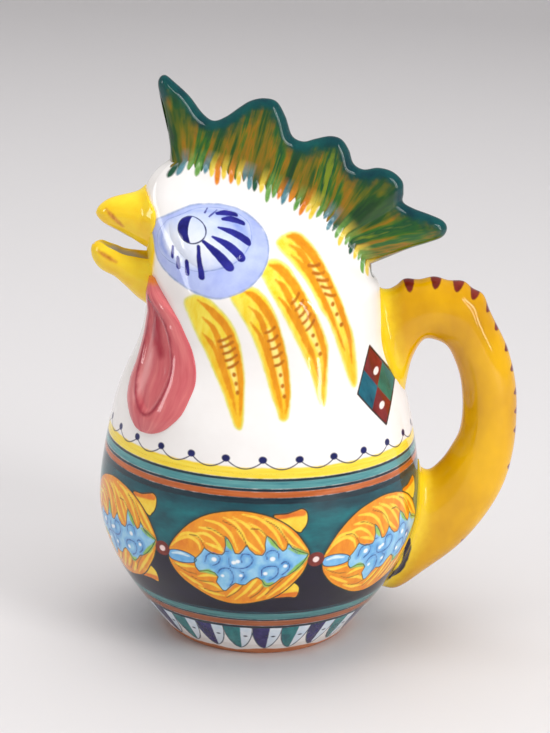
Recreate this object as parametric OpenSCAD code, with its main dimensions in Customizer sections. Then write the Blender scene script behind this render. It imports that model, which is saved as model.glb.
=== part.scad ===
/* [Bowl and neck] */
// Diameter of the foot where it stands
foot_d = 84; // [76:1:92]
// Height of the foot ring
foot_h = 7; // [5:0.5:9]
// Width of the rim that the foot ring stands on
foot_rim = 9; // [6:0.5:12]
// Largest diameter of the belly
belly_d = 150.5; // [142:0.5:158]
// Height of the widest part of the belly
belly_z = 65; // [60:1:70]
// Height of the seam between the belly and the neck
seam_z = 98; // [92:1:104]
// Diameter of the neck where the pinching of the head starts
neck_d = 105.4; // [100:0.2:110]
// Height where the pinching of the head starts
head_z = 165; // [161:1:168]
// Thickness of the thrown wall
wall = 5; // [4:0.5:6.5]
// Thickness of the floor
floor_t = 6; // [5:0.5:8]
// Height over which the inside of the floor is rounded
floor_round = 18; // [12:1:24]

/* [Head and comb] */
// Length of the comb from its front tip to the tip of the tail lobe
comb_l = 132; // [126:1:138]
// Height of the comb's outline, from under the tail lobe to the front tip
comb_h = 84; // [80:1:88]
// How far the front tip of the comb lies in front of the jug's axis
comb_front = 50; // [47:0.5:53]
// Height of the lowest point of the comb's outline
comb_z = 176.5; // [174:0.5:179]
// Half thickness of the comb at its rounded edge
comb_edge = 4.2; // [3.5:0.1:5]
// Distance over which the comb's edge is rounded
comb_round = 5; // [4:0.5:6]
// How much thicker each face of the comb gets down to its base
comb_swell = 4; // [3:0.1:5]
// Rise of the head's curve above the neck before it turns in
head_rise = 20; // [15:1:25]
// Thickness of clay over the hollow, under the comb
crown = 12; // [10:0.5:16]

/* [Beak] */
// How far the upper beak reaches in front of the jug's axis
beak_reach = 77.8; // [75:0.2:80]
// Height of the tip of the upper beak
beak_z = 197; // [195:0.5:199]
// Half width of the upper beak at its root
beak_half_w = 15; // [13:0.5:17]
// How far the lower beak reaches in front of the jug's axis
lip_reach = 80; // [78:0.2:82]
// Height of the tip of the lower beak
lip_z = 181; // [179.5:0.5:182]
// Half width of the lower beak at its root
lip_half_w = 14; // [12.5:0.5:16]
// Half width of the throat where it goes through the head's wall
throat_half_w = 6.5; // [5.5:0.25:7.5]
// Height of the middle of the throat where it goes through the head's wall
throat_z = 176; // [174.5:0.5:177.5]
// Half height of the throat where it goes through the head's wall
throat_half_h = 8; // [7:0.25:9]

/* [Handle] */
// How far the handle reaches behind the jug's axis
handle_reach = 118.8; // [115:0.2:122]
// Height of the top of the handle
handle_top = 170; // [167:0.5:172]
// Half width of the handle, across the jug
handle_half_w = 11.5; // [10:0.5:13]
// Height of the thumb-pressed scallops along the handle's top
scallop_h = 1.2; // [0.6:0.1:1.8]
// Distance from one scallop to the next
scallop_pitch = 12.5; // [10:0.5:15]

/* [Eyes and wattles] */
// Half length of the eye pad, along the head
eye_half_l = 24; // [21:0.5:25]
// Half height of the eye pad, up the head's side
eye_half_h = 20; // [17:0.5:21]
// How far the middle of the eye pad stands proud of the head
eye_proud = 3; // [2:0.1:3.5]
// Height of the wattle's lowest point
wattle_z = 107.5; // [105:0.5:110]
// Length of the wattle
wattle_l = 62.5; // [58:0.5:65]
// Half width of the wattle at its widest, along the wall
wattle_half_w = 23; // [20:0.5:25]
// How far the wattle's raised border stands proud
wattle_proud = 2; // [1.4:0.1:2.6]

/* [Hidden] */
foot_r = foot_d/2;
belly_r = belly_d/2;
neck_r = neck_d/2;
floor_top = foot_h + floor_t;
// Cuts run past the faces that they cut by this much
overrun = 1;
// Height between the points of a turned outline
turn_step = 3.5;

// Radius of the wall from the belly up to the neck, in equal steps of height: 1 at the belly, 0 at the neck
shoulder_shares = [1, 0.976, 0.918, 0.843, 0.754, 0.643, 0.475, 0.279, 0.142, 0.075, 0];
// Inward lean of the wall at the top of the neck, per millimetre of height
neck_lean = 0.2;

// Comb, from the forehead over the lobes to under the tail: length share, height share, and the place
// share along its base line
comb_shares = [
    [0.042, 0.542, 0], [0.041, 0.649, 0.01], [0.023, 0.804, 0.03], [0, 0.929, 0.05],
    [0.003, 0.982, 0.07], [0.023, 0.999, 0.09], [0.053, 0.965, 0.11], [0.106, 0.89, 0.15],
    [0.152, 0.799, 0.19], [0.189, 0.762, 0.23], [0.231, 0.786, 0.28], [0.277, 0.839, 0.33],
    [0.314, 0.875, 0.38], [0.358, 0.89, 0.43], [0.402, 0.873, 0.48], [0.433, 0.795, 0.52],
    [0.457, 0.694, 0.56], [0.495, 0.663, 0.6], [0.538, 0.68, 0.65], [0.586, 0.696, 0.7],
    [0.625, 0.681, 0.74], [0.652, 0.625, 0.77], [0.67, 0.551, 0.79], [0.705, 0.52, 0.81],
    [0.754, 0.531, 0.83], [0.803, 0.513, 0.85], [0.839, 0.462, 0.865], [0.845, 0.399, 0.875],
    [0.845, 0.349, 0.885], [0.879, 0.315, 0.895], [0.939, 0.282, 0.905], [0.985, 0.25, 0.915],
    [1, 0.208, 0.93], [0.985, 0.161, 0.945], [0.939, 0.129, 0.955], [0.876, 0.094, 0.97],
    [0.808, 0.046, 0.985], [0.745, 0.001, 1]];
// Base line of the comb, in equal steps of place: length share, height share
base_shares = [
    [0.042, 0.542], [0.129, 0.56], [0.273, 0.518], [0.439, 0.417], [0.606, 0.286], [0.745, 0.001]];
// Columns of the comb and head between two points of the comb's outline, and rows up each
comb_cols = 2;
comb_rows = 7;
head_rows = 9;
cavity_rows = 6;
// How far the forehead swells forward, how far it drops, and how far the back of the head drops
brow = 21;
brow_drop = 12;
nape_drop = 9;
// How much less the head's curve rises at the back
nape_share = 0.65;
// Height of comb over which it gets its extra thickness
swell_run = 22;
// Lean of the comb from the front tip to the tail, as an angle back from upright
lean_front = -15;
lean_back = 82;
// Lean of the head's side where it meets the comb, per millimetre
flare = 0.13;
// How much narrower the top of the hollow is than the comb's base
crown_share = 0.6;

// Upper beak, from its root to its tip: length share, top, bottom, width share
beak_root = 44;
beak_tall = 28;
beak_shares = [
    [0, 0.357, -0.607, 1.13], [0.237, 0.393, -0.589, 1], [0.385, 0.386, -0.518, 0.83],
    [0.541, 0.332, -0.393, 0.69], [0.675, 0.293, -0.304, 0.575], [0.811, 0.239, -0.225, 0.455],
    [0.905, 0.168, -0.154, 0.335], [0.97, 0.086, -0.075, 0.19], [1, 0, -0.01, 0.02]];
// Lower beak, the same way
lip_tall = 24;
lip_shares = [
    [0, 0, -0.958, 1.14], [0.222, -0.02, -1.04, 1], [0.361, -0.02, -1, 0.86], [0.567, 0.017, -0.725, 0.66],
    [0.694, 0.083, -0.567, 0.57], [0.844, 0.138, -0.458, 0.45], [0.925, 0.11, -0.35, 0.33],
    [0.981, 0.05, -0.21, 0.16], [1, -0.05, -0.07, 0.02]];
// Throat, from inside the head to the tip of the trough: length share, top, floor, width share
throat_root = 34;
throat_reach = 76.5;
throat_shares = [
    [0, 1, -1, 1], [0.28, 1, -1, 1], [0.45, 1, -1, 1], [0.61, 1.19, -0.75, 0.85],
    [0.75, 1.375, -0.375, 0.75], [0.89, 1.6, 0.19, 0.58], [1, 1.6, 0.81, 0.2]];
beak_cols = 20;
beak_rows = 2;

// Handle, from the neck to the belly: its outer and inner edge, as shares of its reach and its top's height
handle_shares = [
    [[0.42, 0.965], [0.5, 0.66]], [[0.48, 0.97], [0.555, 0.712]], [[0.54, 0.992], [0.583, 0.786]],
    [[0.648, 1], [0.62, 0.832]], [[0.757, 0.991], [0.67, 0.832]], [[0.834, 0.959], [0.716, 0.813]],
    [[0.897, 0.885], [0.751, 0.767]], [[0.952, 0.809], [0.773, 0.72]], [[0.988, 0.718], [0.784, 0.665]],
    [[1, 0.623], [0.786, 0.612]], [[0.995, 0.523], [0.777, 0.568]], [[0.964, 0.423], [0.753, 0.53]],
    [[0.897, 0.329], [0.72, 0.491]], [[0.8, 0.241], [0.678, 0.46]], [[0.673, 0.165], [0.64, 0.45]],
    [[0.556, 0.106], [0.606, 0.447]], [[0.47, 0.12], [0.555, 0.44]]];
handle_rows = 3;
handle_cols = 24;
// Where the scallops start and end along the handle, counted in its points
scallop_from = 1.5;
scallop_to = 5.6;
// Points of the handle's list that one scallop spans
scallop_step = 1.02;
// How much wider the handle gets where it meets the belly
handle_spread_share = 0.3;

// Seat of the eye on the head: place along the comb's outline, counted in its points, and share of the height
eye_place = 10.3;
eye_up_share = 0.5;
eye_rings = 5;
eye_sides = 32;
// Step of a luted pad's border over the wall that it sits on
pad_step = 0.4;

// Wattle, in ten equal turns of a quarter circle from its lowest point to its tip:
// how far round its middle lies and its half width, as shares
wattle_shares = [[1, 0.03], [1.02, 0.25], [1.03, 0.48], [1.02, 0.69], [1, 0.89], [0.98, 0.985], [0.97, 1],
    [0.92, 0.94], [0.84, 0.8], [0.69, 0.6], [0.15, 0.05]];
wattle_rows = 2;
wattle_cols = 12;
// Turn of the wattle's widest part round from the front
wattle_turn = 40;

// Point at place s, counted in points, on the smooth curve through the list p
function at(p, s) =
    let (n = len(p), i = min(floor(s), n - 2), f = s - i,
         a = i > 0 ? p[i - 1] : 2*p[0] - p[1], b = p[i], c = p[i + 1],
         d = i < n - 2 ? p[i + 2] : 2*p[n - 1] - p[n - 2])
    b + f/2*((c - a) + f*((2*a - 5*b + 4*c - d) + f*(3*b - a - 3*c + d)));

// Outer radius of the turned body at height z: a quarter sine below the widest part, the shoulder above it
function body_r(z) =
    z <= belly_z ? foot_r + (belly_r - foot_r)*sin(90*z/belly_z)
    : z >= head_z ? neck_r - neck_lean*(z - head_z)
    : let (place = (len(shoulder_shares) - 1)*(z - belly_z)/(head_z - belly_z))
      neck_r + (belly_r - neck_r)*at(shoulder_shares, place);

// Inner radius of the hollow at height z, rounded over the floor
function hollow_r(z) = (body_r(z) - wall)*sqrt(1 - pow(1 - min(1, (z - floor_top)/floor_round), 2));

function steps(z0, z1) = let (n = ceil(abs(z1 - z0)/turn_step)) [for (i = [0:n]) z0 + (z1 - z0)*i/n];

module foot_ring() {
    color("peru") rotate_extrude($fn = 96)
        polygon(concat([[foot_r - foot_rim, foot_h], [foot_r - foot_rim, 0]],
                       [for (z = steps(0, foot_h)) [body_r(z), z]]));
}

module belly() {
    color("darkslategray") rotate_extrude($fn = 96)
        polygon(concat([[0, foot_h]], [for (z = steps(foot_h, seam_z)) [body_r(z), z]],
                       [for (z = steps(seam_z, floor_top)) [hollow_r(z), z]]));
}

module neck() {
    color("ivory") rotate_extrude($fn = 96)
        polygon(concat([for (z = steps(seam_z, head_z)) [body_r(z), z]],
                       [for (z = steps(head_z, seam_z)) [hollow_r(z), z]]));
}

// The whole turned body without its hollow, from z0 to z1, with a low cone on top that reaches into the head
module turned_solid(z0, z1) {
    rotate_extrude($fn = 96)
        polygon(concat([[0, z0]], [for (z = steps(z0, z1)) [body_r(z), z]], [[0, z1 + wall]]));
}

// Comb outline and base line in the middle plane, x backwards and z up
function comb_xz(share) = [comb_l*share[0] - comb_front, comb_z + comb_h*share[1]];
function comb_edge_at(u) = comb_xz(at(comb_shares, u));
function comb_place(u) = min(1, max(0, at(comb_shares, u)[2]));
function comb_base_at(u) = comb_xz(at(base_shares, (len(base_shares) - 1)*comb_place(u)));
comb_last = len(comb_shares) - 1;
comb_n = comb_cols*comb_last;
comb_line = [for (i = [0:comb_n]) comb_edge_at(i/comb_cols)];

function segment_gap(p, a, b) = norm(p - a - min(1, max(0, (p - a)*(b - a)/((b - a)*(b - a))))*(b - a));
function edge_gap(p) = min([for (i = [0:comb_n - 1]) segment_gap(p, comb_line[i], comb_line[i + 1])]);
// Extra half thickness at the base of a column of the comb that is len_up long
function swell(len_up) = comb_swell*min(1, len_up/swell_run);
// Half thickness of the comb at point p: its rounded edge and what it has gained on the way down
function comb_half(p, gain) = comb_edge*sqrt(1 - pow(1 - min(1, edge_gap(p)/comb_round), 2)) + gain;

// A ring of points for each row: the near side from front to back, then the far side from back to front
function mirrored(p) = [p[0], -p[1], p[2]];
function ring(near, n) = concat([for (i = [0:n]) near[i]], [for (i = [n - 1:-1:1]) mirrored(near[i])]);
// Splits a four-sided face in two and leaves out any that has shrunk to a line
function split(a, b, c, d) =
    [if (a != b && b != c && c != a) [a, b, c], if (a != c && c != d && d != a) [a, c, d]];

function comb_point(u, t) =
    let (up = comb_edge_at(u) - comb_base_at(u), p = comb_base_at(u) + t*up)
    [p[0], t >= 1 ? 0 : -comb_half(p, (1 - t)*swell(norm(up))), p[1]];

module comb() {
    n = comb_n;
    rows = comb_rows;
    grid = [for (k = [0:rows]) [for (i = [0:n]) comb_point(i/comb_cols, 1 - pow(1 - k/rows, 1.6))]];
    points = [for (k = [0:rows]) each ring(grid[k], n)];
    function near(i, k) = i == 0 || i == n ? i : 2*n*k + i;
    function far(i, k) = i == 0 || i == n || k == rows ? near(i, k) : 2*n*(k + 1) - i;
    faces = [for (k = [0:rows - 1]) for (i = [0:n - 1]) each concat(
        split(near(i, k), near(i, k + 1), near(i + 1, k + 1), near(i + 1, k)),
        split(far(i, k), far(i + 1, k), far(i + 1, k + 1), far(i, k + 1)))];
    base = [for (i = [0:n - 1]) each split(far(i, 0), near(i, 0), near(i + 1, 0), far(i + 1, 0))];
    color("darkgreen") polyhedron(points, concat(faces, base));
}

// Point on the head, in column u of the comb, at share t of the way from the neck to the comb's base.
// Each column is a cubic curve: up from the round neck, and in the comb's own direction at the top.
// inset moves it inwards, for the hollow.
function head_point(u, t, inset = 0) =
    let (q = comb_place(u), side = acos(1 - 2*q),
         front = pow(max(0, cos(side)), 2), back = pow(max(0, -cos(side)), 2), side_share = 1 - front - back,
         r = neck_r - inset, rise = head_rise*(1 - nape_share*back),
         top = comb_base_at(u), half = comb_half(top, swell(norm(comb_edge_at(u) - top))),
         lean = lean_front + (lean_back - lean_front)*q*q, hollow = inset > 0 ? 1 : 0,
         p0 = [-r*cos(side), -r*sin(side), head_z],
         draw = 1 - (1 - front)*neck_lean*rise/r,
         p1 = [p0[0]*draw, p0[1]*draw, head_z + rise],
         p3 = [top[0]*(1 - hollow*2*inset/neck_r), -half*(1 - hollow*crown_share), top[1] - hollow*crown],
         p2 = p3 - [brow*front + head_rise*side_share*sin(lean), flare*head_rise*side_share,
                    brow_drop*front + head_rise*side_share*max(0.5, cos(lean)) + nape_drop*back])
    pow(1 - t, 3)*p0 + 3*t*pow(1 - t, 2)*p1 + 3*t*t*(1 - t)*p2 + pow(t, 3)*p3;

// Point on the neck below column u of the comb
function neck_point(u, z) =
    let (side = acos(1 - 2*comb_place(u)))
    [-body_r(z)*cos(side), -body_r(z)*sin(side), z];

// Closed solid of the head from the neck to the comb's base. neck_h carries it that far down the neck.
module head_solid(rows, step, inset = 0, sink = 0, neck_h = 0) {
    n = comb_n/step;
    below = steps(head_z - neck_h, head_z);
    neck_grid = [for (k = [0:len(below) - 2]) [for (i = [0:n]) neck_point(i*step/comb_cols, below[k])]];
    head_grid = [for (k = [0:rows]) [for (i = [0:n]) let (p = head_point(i*step/comb_cols, k/rows, inset))
        [p[0], i == 0 || i == n ? 0 : p[1], p[2] - (k == 0 ? sink : 0)]]];
    grid = neck_h > 0 ? concat(neck_grid, head_grid) : head_grid;
    last = len(grid) - 1;
    points = [for (k = [0:last]) each ring(grid[k], n)];
    function at_index(i, k) = 2*n*k + i%(2*n);
    // The far side is split along the other diagonal, so that it mirrors the near side
    walls = [for (k = [0:last - 1]) for (i = [0:2*n - 1])
        let (a = at_index(i, k), b = at_index(i, k + 1), c = at_index(i + 1, k + 1), d = at_index(i + 1, k))
        each i < n ? split(a, b, c, d) : split(b, c, d, a)];
    bottom = [[for (i = [0:2*n - 1]) i]];
    top = [for (i = [0:n - 1]) each
        split(at_index(i, last), at_index(2*n - i, last),
              at_index(2*n - i - 1, last), at_index(i + 1, last))];
    polyhedron(points, concat(walls, bottom, top));
}

module head() {
    color("white") difference() {
        head_solid(head_rows, 1);
        head_solid(cavity_rows, 2, wall, overrun);
        throat();
    }
}

// Closed solid through a list of rings that all have as many points
module loft(rings) {
    m = len(rings[0]);
    n = len(rings) - 1;
    faces = [for (k = [0:n - 1]) for (i = [0:m - 1]) each
        split(k*m + i, k*m + (i + 1)%m, (k + 1)*m + (i + 1)%m, (k + 1)*m + i)];
    polyhedron([for (k = [0:n]) each rings[k]],
               concat(faces, [[for (i = [m - 1:-1:0]) i]], [[for (i = [0:m - 1]) n*m + i]]));
}

// Rings of a beak or of the throat: ovals square to the jug's length
function beak_rings(shares, root, reach, z, tall, half_w) =
    [for (s = [0:1/beak_rows:len(shares) - 1])
        let (row = at(shares, s), x = -root - row[0]*(reach - root), mid = z + tall*(row[1] + row[2])/2,
             half = tall*(row[1] - row[2])/2)
        [for (i = [0:beak_cols - 1]) let (a = 360*i/beak_cols)
            [x, half_w*row[3]*cos(a), mid + half*sin(a)]]];

module throat() {
    loft(beak_rings(throat_shares, throat_root, throat_reach, throat_z, throat_half_h, throat_half_w));
}

module upper_beak() {
    color("gold") difference() {
        loft(beak_rings(beak_shares, beak_root, beak_reach, beak_z, beak_tall, beak_half_w));
        head_solid(head_rows, 1);
        throat();
    }
}

module lower_beak() {
    color("gold") difference() {
        loft(beak_rings(lip_shares, beak_root, lip_reach, lip_z, lip_tall, lip_half_w));
        head_solid(head_rows, 1, neck_h = head_z - lip_z + lip_tall + wall);
        throat();
    }
}

// Ring of the handle at place s: an oval between its two edges, with the scallops on the outer one
function handle_ring(s) =
    let (row = at(handle_shares, s), a = [row[0][0]*handle_reach, row[0][1]*handle_top],
         b = [row[1][0]*handle_reach, row[1][1]*handle_top], mid = (a + b)/2, out = (a - b)/norm(a - b),
         run = (s - scallop_from)*scallop_pitch/scallop_step,
         wave = s > scallop_from && s < scallop_to ? scallop_h*pow(sin(180*run/scallop_pitch), 2) : 0,
         half = norm(a - b)/2,
         half_w = handle_half_w*(1 + handle_spread_share*pow(s/(len(handle_shares) - 1), 3)))
    [for (i = [0:handle_cols - 1]) let (t = 360*i/handle_cols, e = half*cos(t) + wave*pow(max(0, cos(t)), 4))
        [mid[0] + out[0]*e, half_w*sin(t), mid[1] + out[1]*e]];

module handle() {
    color("goldenrod") difference() {
        loft([for (s = [0:1/handle_rows:len(handle_shares) - 1]) handle_ring(s)]);
        turned_solid(foot_h, head_z);
        head_solid(head_rows, 1);
    }
}

// Outward direction of the head's surface, near side
function head_out(u, t) =
    let (n = cross(head_point(u, t + 0.02) - head_point(u, t), head_point(u + 0.02, t) - head_point(u, t)))
    n/norm(n);

// Point of the eye pad: v from its middle to its border, turned by angle a, and the height over the head
function eye_point(v, a, rise) =
    let (e = 0.1, seat = head_point(eye_place, eye_up_share),
         per_place = norm(head_point(eye_place + e, eye_up_share) - seat)/e,
         per_up = norm(head_point(eye_place, eye_up_share + e) - seat)/e,
         u = eye_place + v*eye_half_l*cos(a)/per_place, t = eye_up_share + v*eye_half_h*sin(a)/per_up)
    head_point(u, t) + rise*head_out(u, t);

// Low oval pad that follows the near side of the head
module eye_pad() {
    rings = [for (k = [0:eye_rings]) let (v = 1 - k/(eye_rings + 0.5))
        [for (i = [0:eye_sides - 1])
            eye_point(v, 360*i/eye_sides, pad_step + (eye_proud - pad_step)*(1 - v*v))]];
    border = [for (i = [0:eye_sides - 1]) eye_point(1, 360*i/eye_sides, -wall/2)];
    difference() {
        loft(concat([border], rings));
        head_solid(head_rows, 1);
    }
}

module right_eye() { color("lightsteelblue") eye_pad(); }
module left_eye() { color("lightsteelblue") mirror([0, 1, 0]) eye_pad(); }

// Height of the wattle over the wall: a raised border round a shallow dish, from v = 0 in the middle to
// v = 1 at the edge
function wattle_rise(v) = pad_step + wattle_proud*(1 - pow(v, 4))*(0.5 + 1.1*v*v);

module wattle_pad() {
    n = len(wattle_shares) - 1;
    function wall_point(r, a, z) = [-r*cos(a), -r*sin(a), z];
    rings = [for (s = [0:1/wattle_rows:n])
        let (row = at(wattle_shares, s), z = wattle_z + wattle_l*(1 - cos(90*s/n)), r = body_r(z),
             half = wattle_half_w*row[1]/r*180/PI, mid = wattle_turn*row[0])
        concat([for (i = [0:wattle_cols]) let (v = 2*i/wattle_cols - 1)
                    wall_point(r + wattle_rise(abs(v))*row[1], mid + half*v, z)],
               [for (i = [wattle_cols:-1:0]) wall_point(r - wall/2, mid + half*(2*i/wattle_cols - 1), z)])];
    difference() {
        loft(rings);
        head_solid(head_rows, 1, neck_h = head_z - wattle_z + wall);
        loft(beak_rings(lip_shares, beak_root, lip_reach, lip_z, lip_tall, lip_half_w));
    }
}

module right_wattle() { color("indianred") wattle_pad(); }
module left_wattle() { color("indianred") mirror([0, 1, 0]) wattle_pad(); }

foot_ring();
belly();
neck();
head();
comb();
upper_beak();
lower_beak();
handle();
right_eye();
left_eye();
right_wattle();
left_wattle();
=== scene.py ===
"""A hand-painted earthenware jug in the shape of a cockerel, 26 cm tall.

Lengths are in millimetres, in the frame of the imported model: z is up, the beak points along -x and the
handle along +x. A mesh gets its metres when it is made. Each section makes one piece in the order in which
the jug is put together, and paints it."""
import bmesh
import bpy
import numpy as np
from mathutils import Matrix


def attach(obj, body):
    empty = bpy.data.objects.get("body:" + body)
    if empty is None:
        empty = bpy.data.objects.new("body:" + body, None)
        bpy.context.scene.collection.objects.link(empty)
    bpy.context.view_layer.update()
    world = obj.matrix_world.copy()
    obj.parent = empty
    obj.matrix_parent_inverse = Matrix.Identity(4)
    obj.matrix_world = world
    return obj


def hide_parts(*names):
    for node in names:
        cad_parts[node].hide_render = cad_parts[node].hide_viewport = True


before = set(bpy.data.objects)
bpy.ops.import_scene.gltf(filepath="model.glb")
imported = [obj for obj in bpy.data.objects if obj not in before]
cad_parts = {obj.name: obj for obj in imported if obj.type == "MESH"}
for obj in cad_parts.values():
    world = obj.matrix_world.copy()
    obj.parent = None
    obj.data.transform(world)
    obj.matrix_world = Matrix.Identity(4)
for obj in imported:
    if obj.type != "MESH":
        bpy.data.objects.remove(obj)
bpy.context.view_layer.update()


# Foot ring
# A turned ring of red earthenware under the bowl. The glaze stops short of its rim, which is bare clay, and
# the painted petals of the bowl run down to the bare edge.
MM = 0.001
foot_r = 42
foot_h = 7
foot_rim = 9
foot_round = 1.2
belly_r = 75.25
belly_z = 65
neck_r = 52.7
head_z = 165
shoulder_shares = np.array([1, 0.976, 0.918, 0.843, 0.754, 0.643, 0.475, 0.279, 0.142, 0.075, 0])
neck_lean = 0.2
turns = 640
crisp_from = np.radians(50)


def at(points, place):
    """Point at each place along the smooth curve through the points: between two of them a cubic whose
    tangents are half the step from the point before to the point after."""
    points = np.asarray(points, float)
    ends = np.stack([2*points[0] - points[1], 2*points[-1] - points[-2]])
    p = np.concatenate([ends[:1], points, ends[1:]])
    place = np.asarray(place, float)
    i = np.clip(np.floor(place).astype(int), 0, len(points) - 2)
    f = place - i
    if p.ndim > 1:
        f = f[..., None]
    a, b, c, d = p[i], p[i + 1], p[i + 2], p[i + 3]
    return b + f/2*((c - a) + f*((2*a - 5*b + 4*c - d) + f*(3*b - a - 3*c + d)))


def body_r(z):
    """Outer radius of the thrown body at height z: a quarter sine from the foot to the widest part, then the
    curve of the shoulder up to the neck, then the neck's lean."""
    z = np.asarray(z, float)
    low = foot_r + (belly_r - foot_r)*np.sin(np.pi/2*np.clip(z/belly_z, 0, 1))
    place = (len(shoulder_shares) - 1)*np.clip((z - belly_z)/(head_z - belly_z), 0, 1)
    high = neck_r + (belly_r - neck_r)*at(shoulder_shares, place) - neck_lean*np.maximum(z - head_z, 0)
    return np.where(z <= belly_z, low, high)


def turned(profile):
    """Grid of a profile of radii and heights turned round z: rows follow the profile, columns the turn. The
    first column faces -y, and the turn goes on towards +x."""
    profile = np.asarray(profile, float)
    turn = np.arange(turns)*2*np.pi/turns
    r, z = profile[:, :1], profile[:, 1:]
    return np.stack([r*np.sin(turn), -r*np.cos(turn), z + 0*turn], axis=2)


def wall(z0, z1, n):
    """Profile up the outer wall in n steps."""
    z = np.linspace(z0, z1, n + 1)
    return np.stack([body_r(z), z], axis=1)


def solid(name, sheets, node, fields):
    """One closed mesh from sheets, each (grid of points, whether its columns close into a ring). Borders that
    meet are merged and faces turned outwards. fields are values on the points, one array for all the sheets.
    Edges sharper than crisp_from stay crisp."""
    points = np.concatenate([grid.reshape(-1, 3) for grid, closed in sheets])
    faces, start = [], 0
    for grid, closed in sheets:
        rows, cols = grid.shape[:2]
        index = start + np.arange(rows*cols).reshape(rows, cols)
        if closed:
            index = np.concatenate([index, index[:, :1]], axis=1)
        corners = [index[:-1, :-1], index[:-1, 1:], index[1:, 1:], index[1:, :-1]]
        faces.append(np.stack(corners, -1).reshape(-1, 4))
        start += rows*cols
    faces = np.concatenate(faces)
    mesh = bpy.data.meshes.new(name)
    mesh.vertices.add(len(points))
    mesh.vertices.foreach_set("co", (points*MM).ravel())
    mesh.loops.add(faces.size)
    mesh.loops.foreach_set("vertex_index", faces.ravel())
    mesh.polygons.add(len(faces))
    mesh.polygons.foreach_set("loop_start", np.arange(0, faces.size, 4))
    mesh.update(calc_edges=True)
    for field, values in fields.items():
        layer = mesh.attributes.new(field, "FLOAT", "POINT")
        layer.data.foreach_set("value", np.asarray(values, np.float32).ravel())
    work = bmesh.new()
    work.from_mesh(mesh)
    bmesh.ops.remove_doubles(work, verts=work.verts, dist=1e-6)
    bmesh.ops.recalc_face_normals(work, faces=work.faces)
    work.to_mesh(mesh)
    work.free()
    mesh.shade_smooth()
    mesh.set_sharp_from_angle(angle=crisp_from)
    piece = bpy.data.objects.new(name, mesh)
    bpy.context.scene.collection.objects.link(piece)
    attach(piece, "root")
    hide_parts(node)
    return piece


far_off = 9.0


def stroke(p, path, half, steps=5):
    """Distance in mm from points p to the edge of a brush stroke: to the nearest spot of the smooth path,
    less its half width there. Negative inside, and never more than far_off."""
    path, half = np.asarray(path, float), np.atleast_1d(np.asarray(half, float))
    places = np.linspace(0, 1, (len(path) - 1)*steps + 1)
    spots = at(path, places*(len(path) - 1))
    half = np.interp(places, np.linspace(0, 1, len(half)), half)
    reach = far_off + half.max()
    near = ((p > spots.min(0) - reach) & (p < spots.max(0) + reach)).all(-1)
    flat = p[near]
    best = np.full(len(flat), far_off)
    for a, run, wide, gain in zip(spots[:-1], np.diff(spots, axis=0), half[:-1], np.diff(half)):
        share = np.clip(((flat - a) @ run)/max(run @ run, 1e-9), 0, 1)
        gap = np.hypot(flat[:, 0] - a[0] - share*run[0], flat[:, 1] - a[1] - share*run[1])
        best = np.minimum(best, gap - wide - share*gain)
    out = np.full(p.shape[:-1], far_off)
    out[near] = best
    return out


def area(p, ring, steps=5):
    """Distance in mm from points p to the closed outline through the ring's points, negative inside: a point
    is inside when a level line from it crosses the outline an odd number of times. One step keeps corners
    sharp."""
    ring = np.asarray(ring, float)
    places = np.linspace(2, len(ring) + 2, len(ring)*steps + 1)
    spots = at(np.concatenate([ring[-2:], ring, ring[:3]]), places)
    inside = np.zeros(p.shape[:-1], bool)
    for a, b in zip(spots[:-1], spots[1:]):
        if a[1] != b[1]:
            cross = a[0] + (p[..., 1] - a[1])*(b[0] - a[0])/(b[1] - a[1])
            inside ^= ((a[1] > p[..., 1]) != (b[1] > p[..., 1])) & (p[..., 0] < cross)
    gap = stroke(p, spots, 0, 1)
    return np.where(inside, -gap, gap)


def blob(p, centre, half):
    """Distance in mm from points p to an oval with these half sizes, negative inside."""
    q = (p - np.asarray(centre, float))/half
    k0, k1 = np.linalg.norm(q, axis=-1), np.linalg.norm(q/half, axis=-1)
    return np.minimum(k0*(k0 - 1)/np.maximum(k1, 1e-6), far_off)


def least(fields):
    """Distance to the nearest of several painted shapes."""
    return np.minimum.reduce(list(fields))


def colour(code):
    """Linear colour of a glaze that is written as six hex digits."""
    tone = np.array([int(code[k:k + 2], 16) for k in (0, 2, 4)])/255
    return (*np.where(tone < 0.04, tone/12.92, ((tone + 0.055)/1.055)**2.4).tolist(), 1)


def add(tree, kind, links={}, **settings):
    """New shader node with these settings. Its inputs are linked to sockets or set to values."""
    made = tree.nodes.new("ShaderNode" + kind)
    for name, value in settings.items():
        setattr(made, name, value)
    for name, value in links.items():
        if isinstance(value, bpy.types.NodeSocket):
            tree.links.new(value, made.inputs[name])
        else:
            made.inputs[name].default_value = value
    return made


def math(tree, operation, a, b=0.0):
    """Result of one sum on two values or sockets."""
    return add(tree, "Math", {0: a, 1: b}, operation=operation).outputs[0]


def blend(tree, share, a, b):
    """Colour between a and b."""
    return add(tree, "Mix", {0: share, 6: a, 7: b}, data_type="RGBA").outputs[2]


def field_value(tree, name):
    """Value of a field of the mesh."""
    return add(tree, "Attribute", attribute_name=name).outputs["Fac"]


def group(name, inputs, outputs):
    """New shader node group, with its input and output nodes. Each socket is given as its name and kind."""
    tree = bpy.data.node_groups.new(name, "ShaderNodeTree")
    for in_out, sockets in (("INPUT", inputs), ("OUTPUT", outputs)):
        for label, kind in sockets:
            tree.interface.new_socket(label, in_out=in_out, socket_type="NodeSocket" + kind)
    return tree, tree.nodes.new("NodeGroupInput").outputs, tree.nodes.new("NodeGroupOutput").inputs


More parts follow.
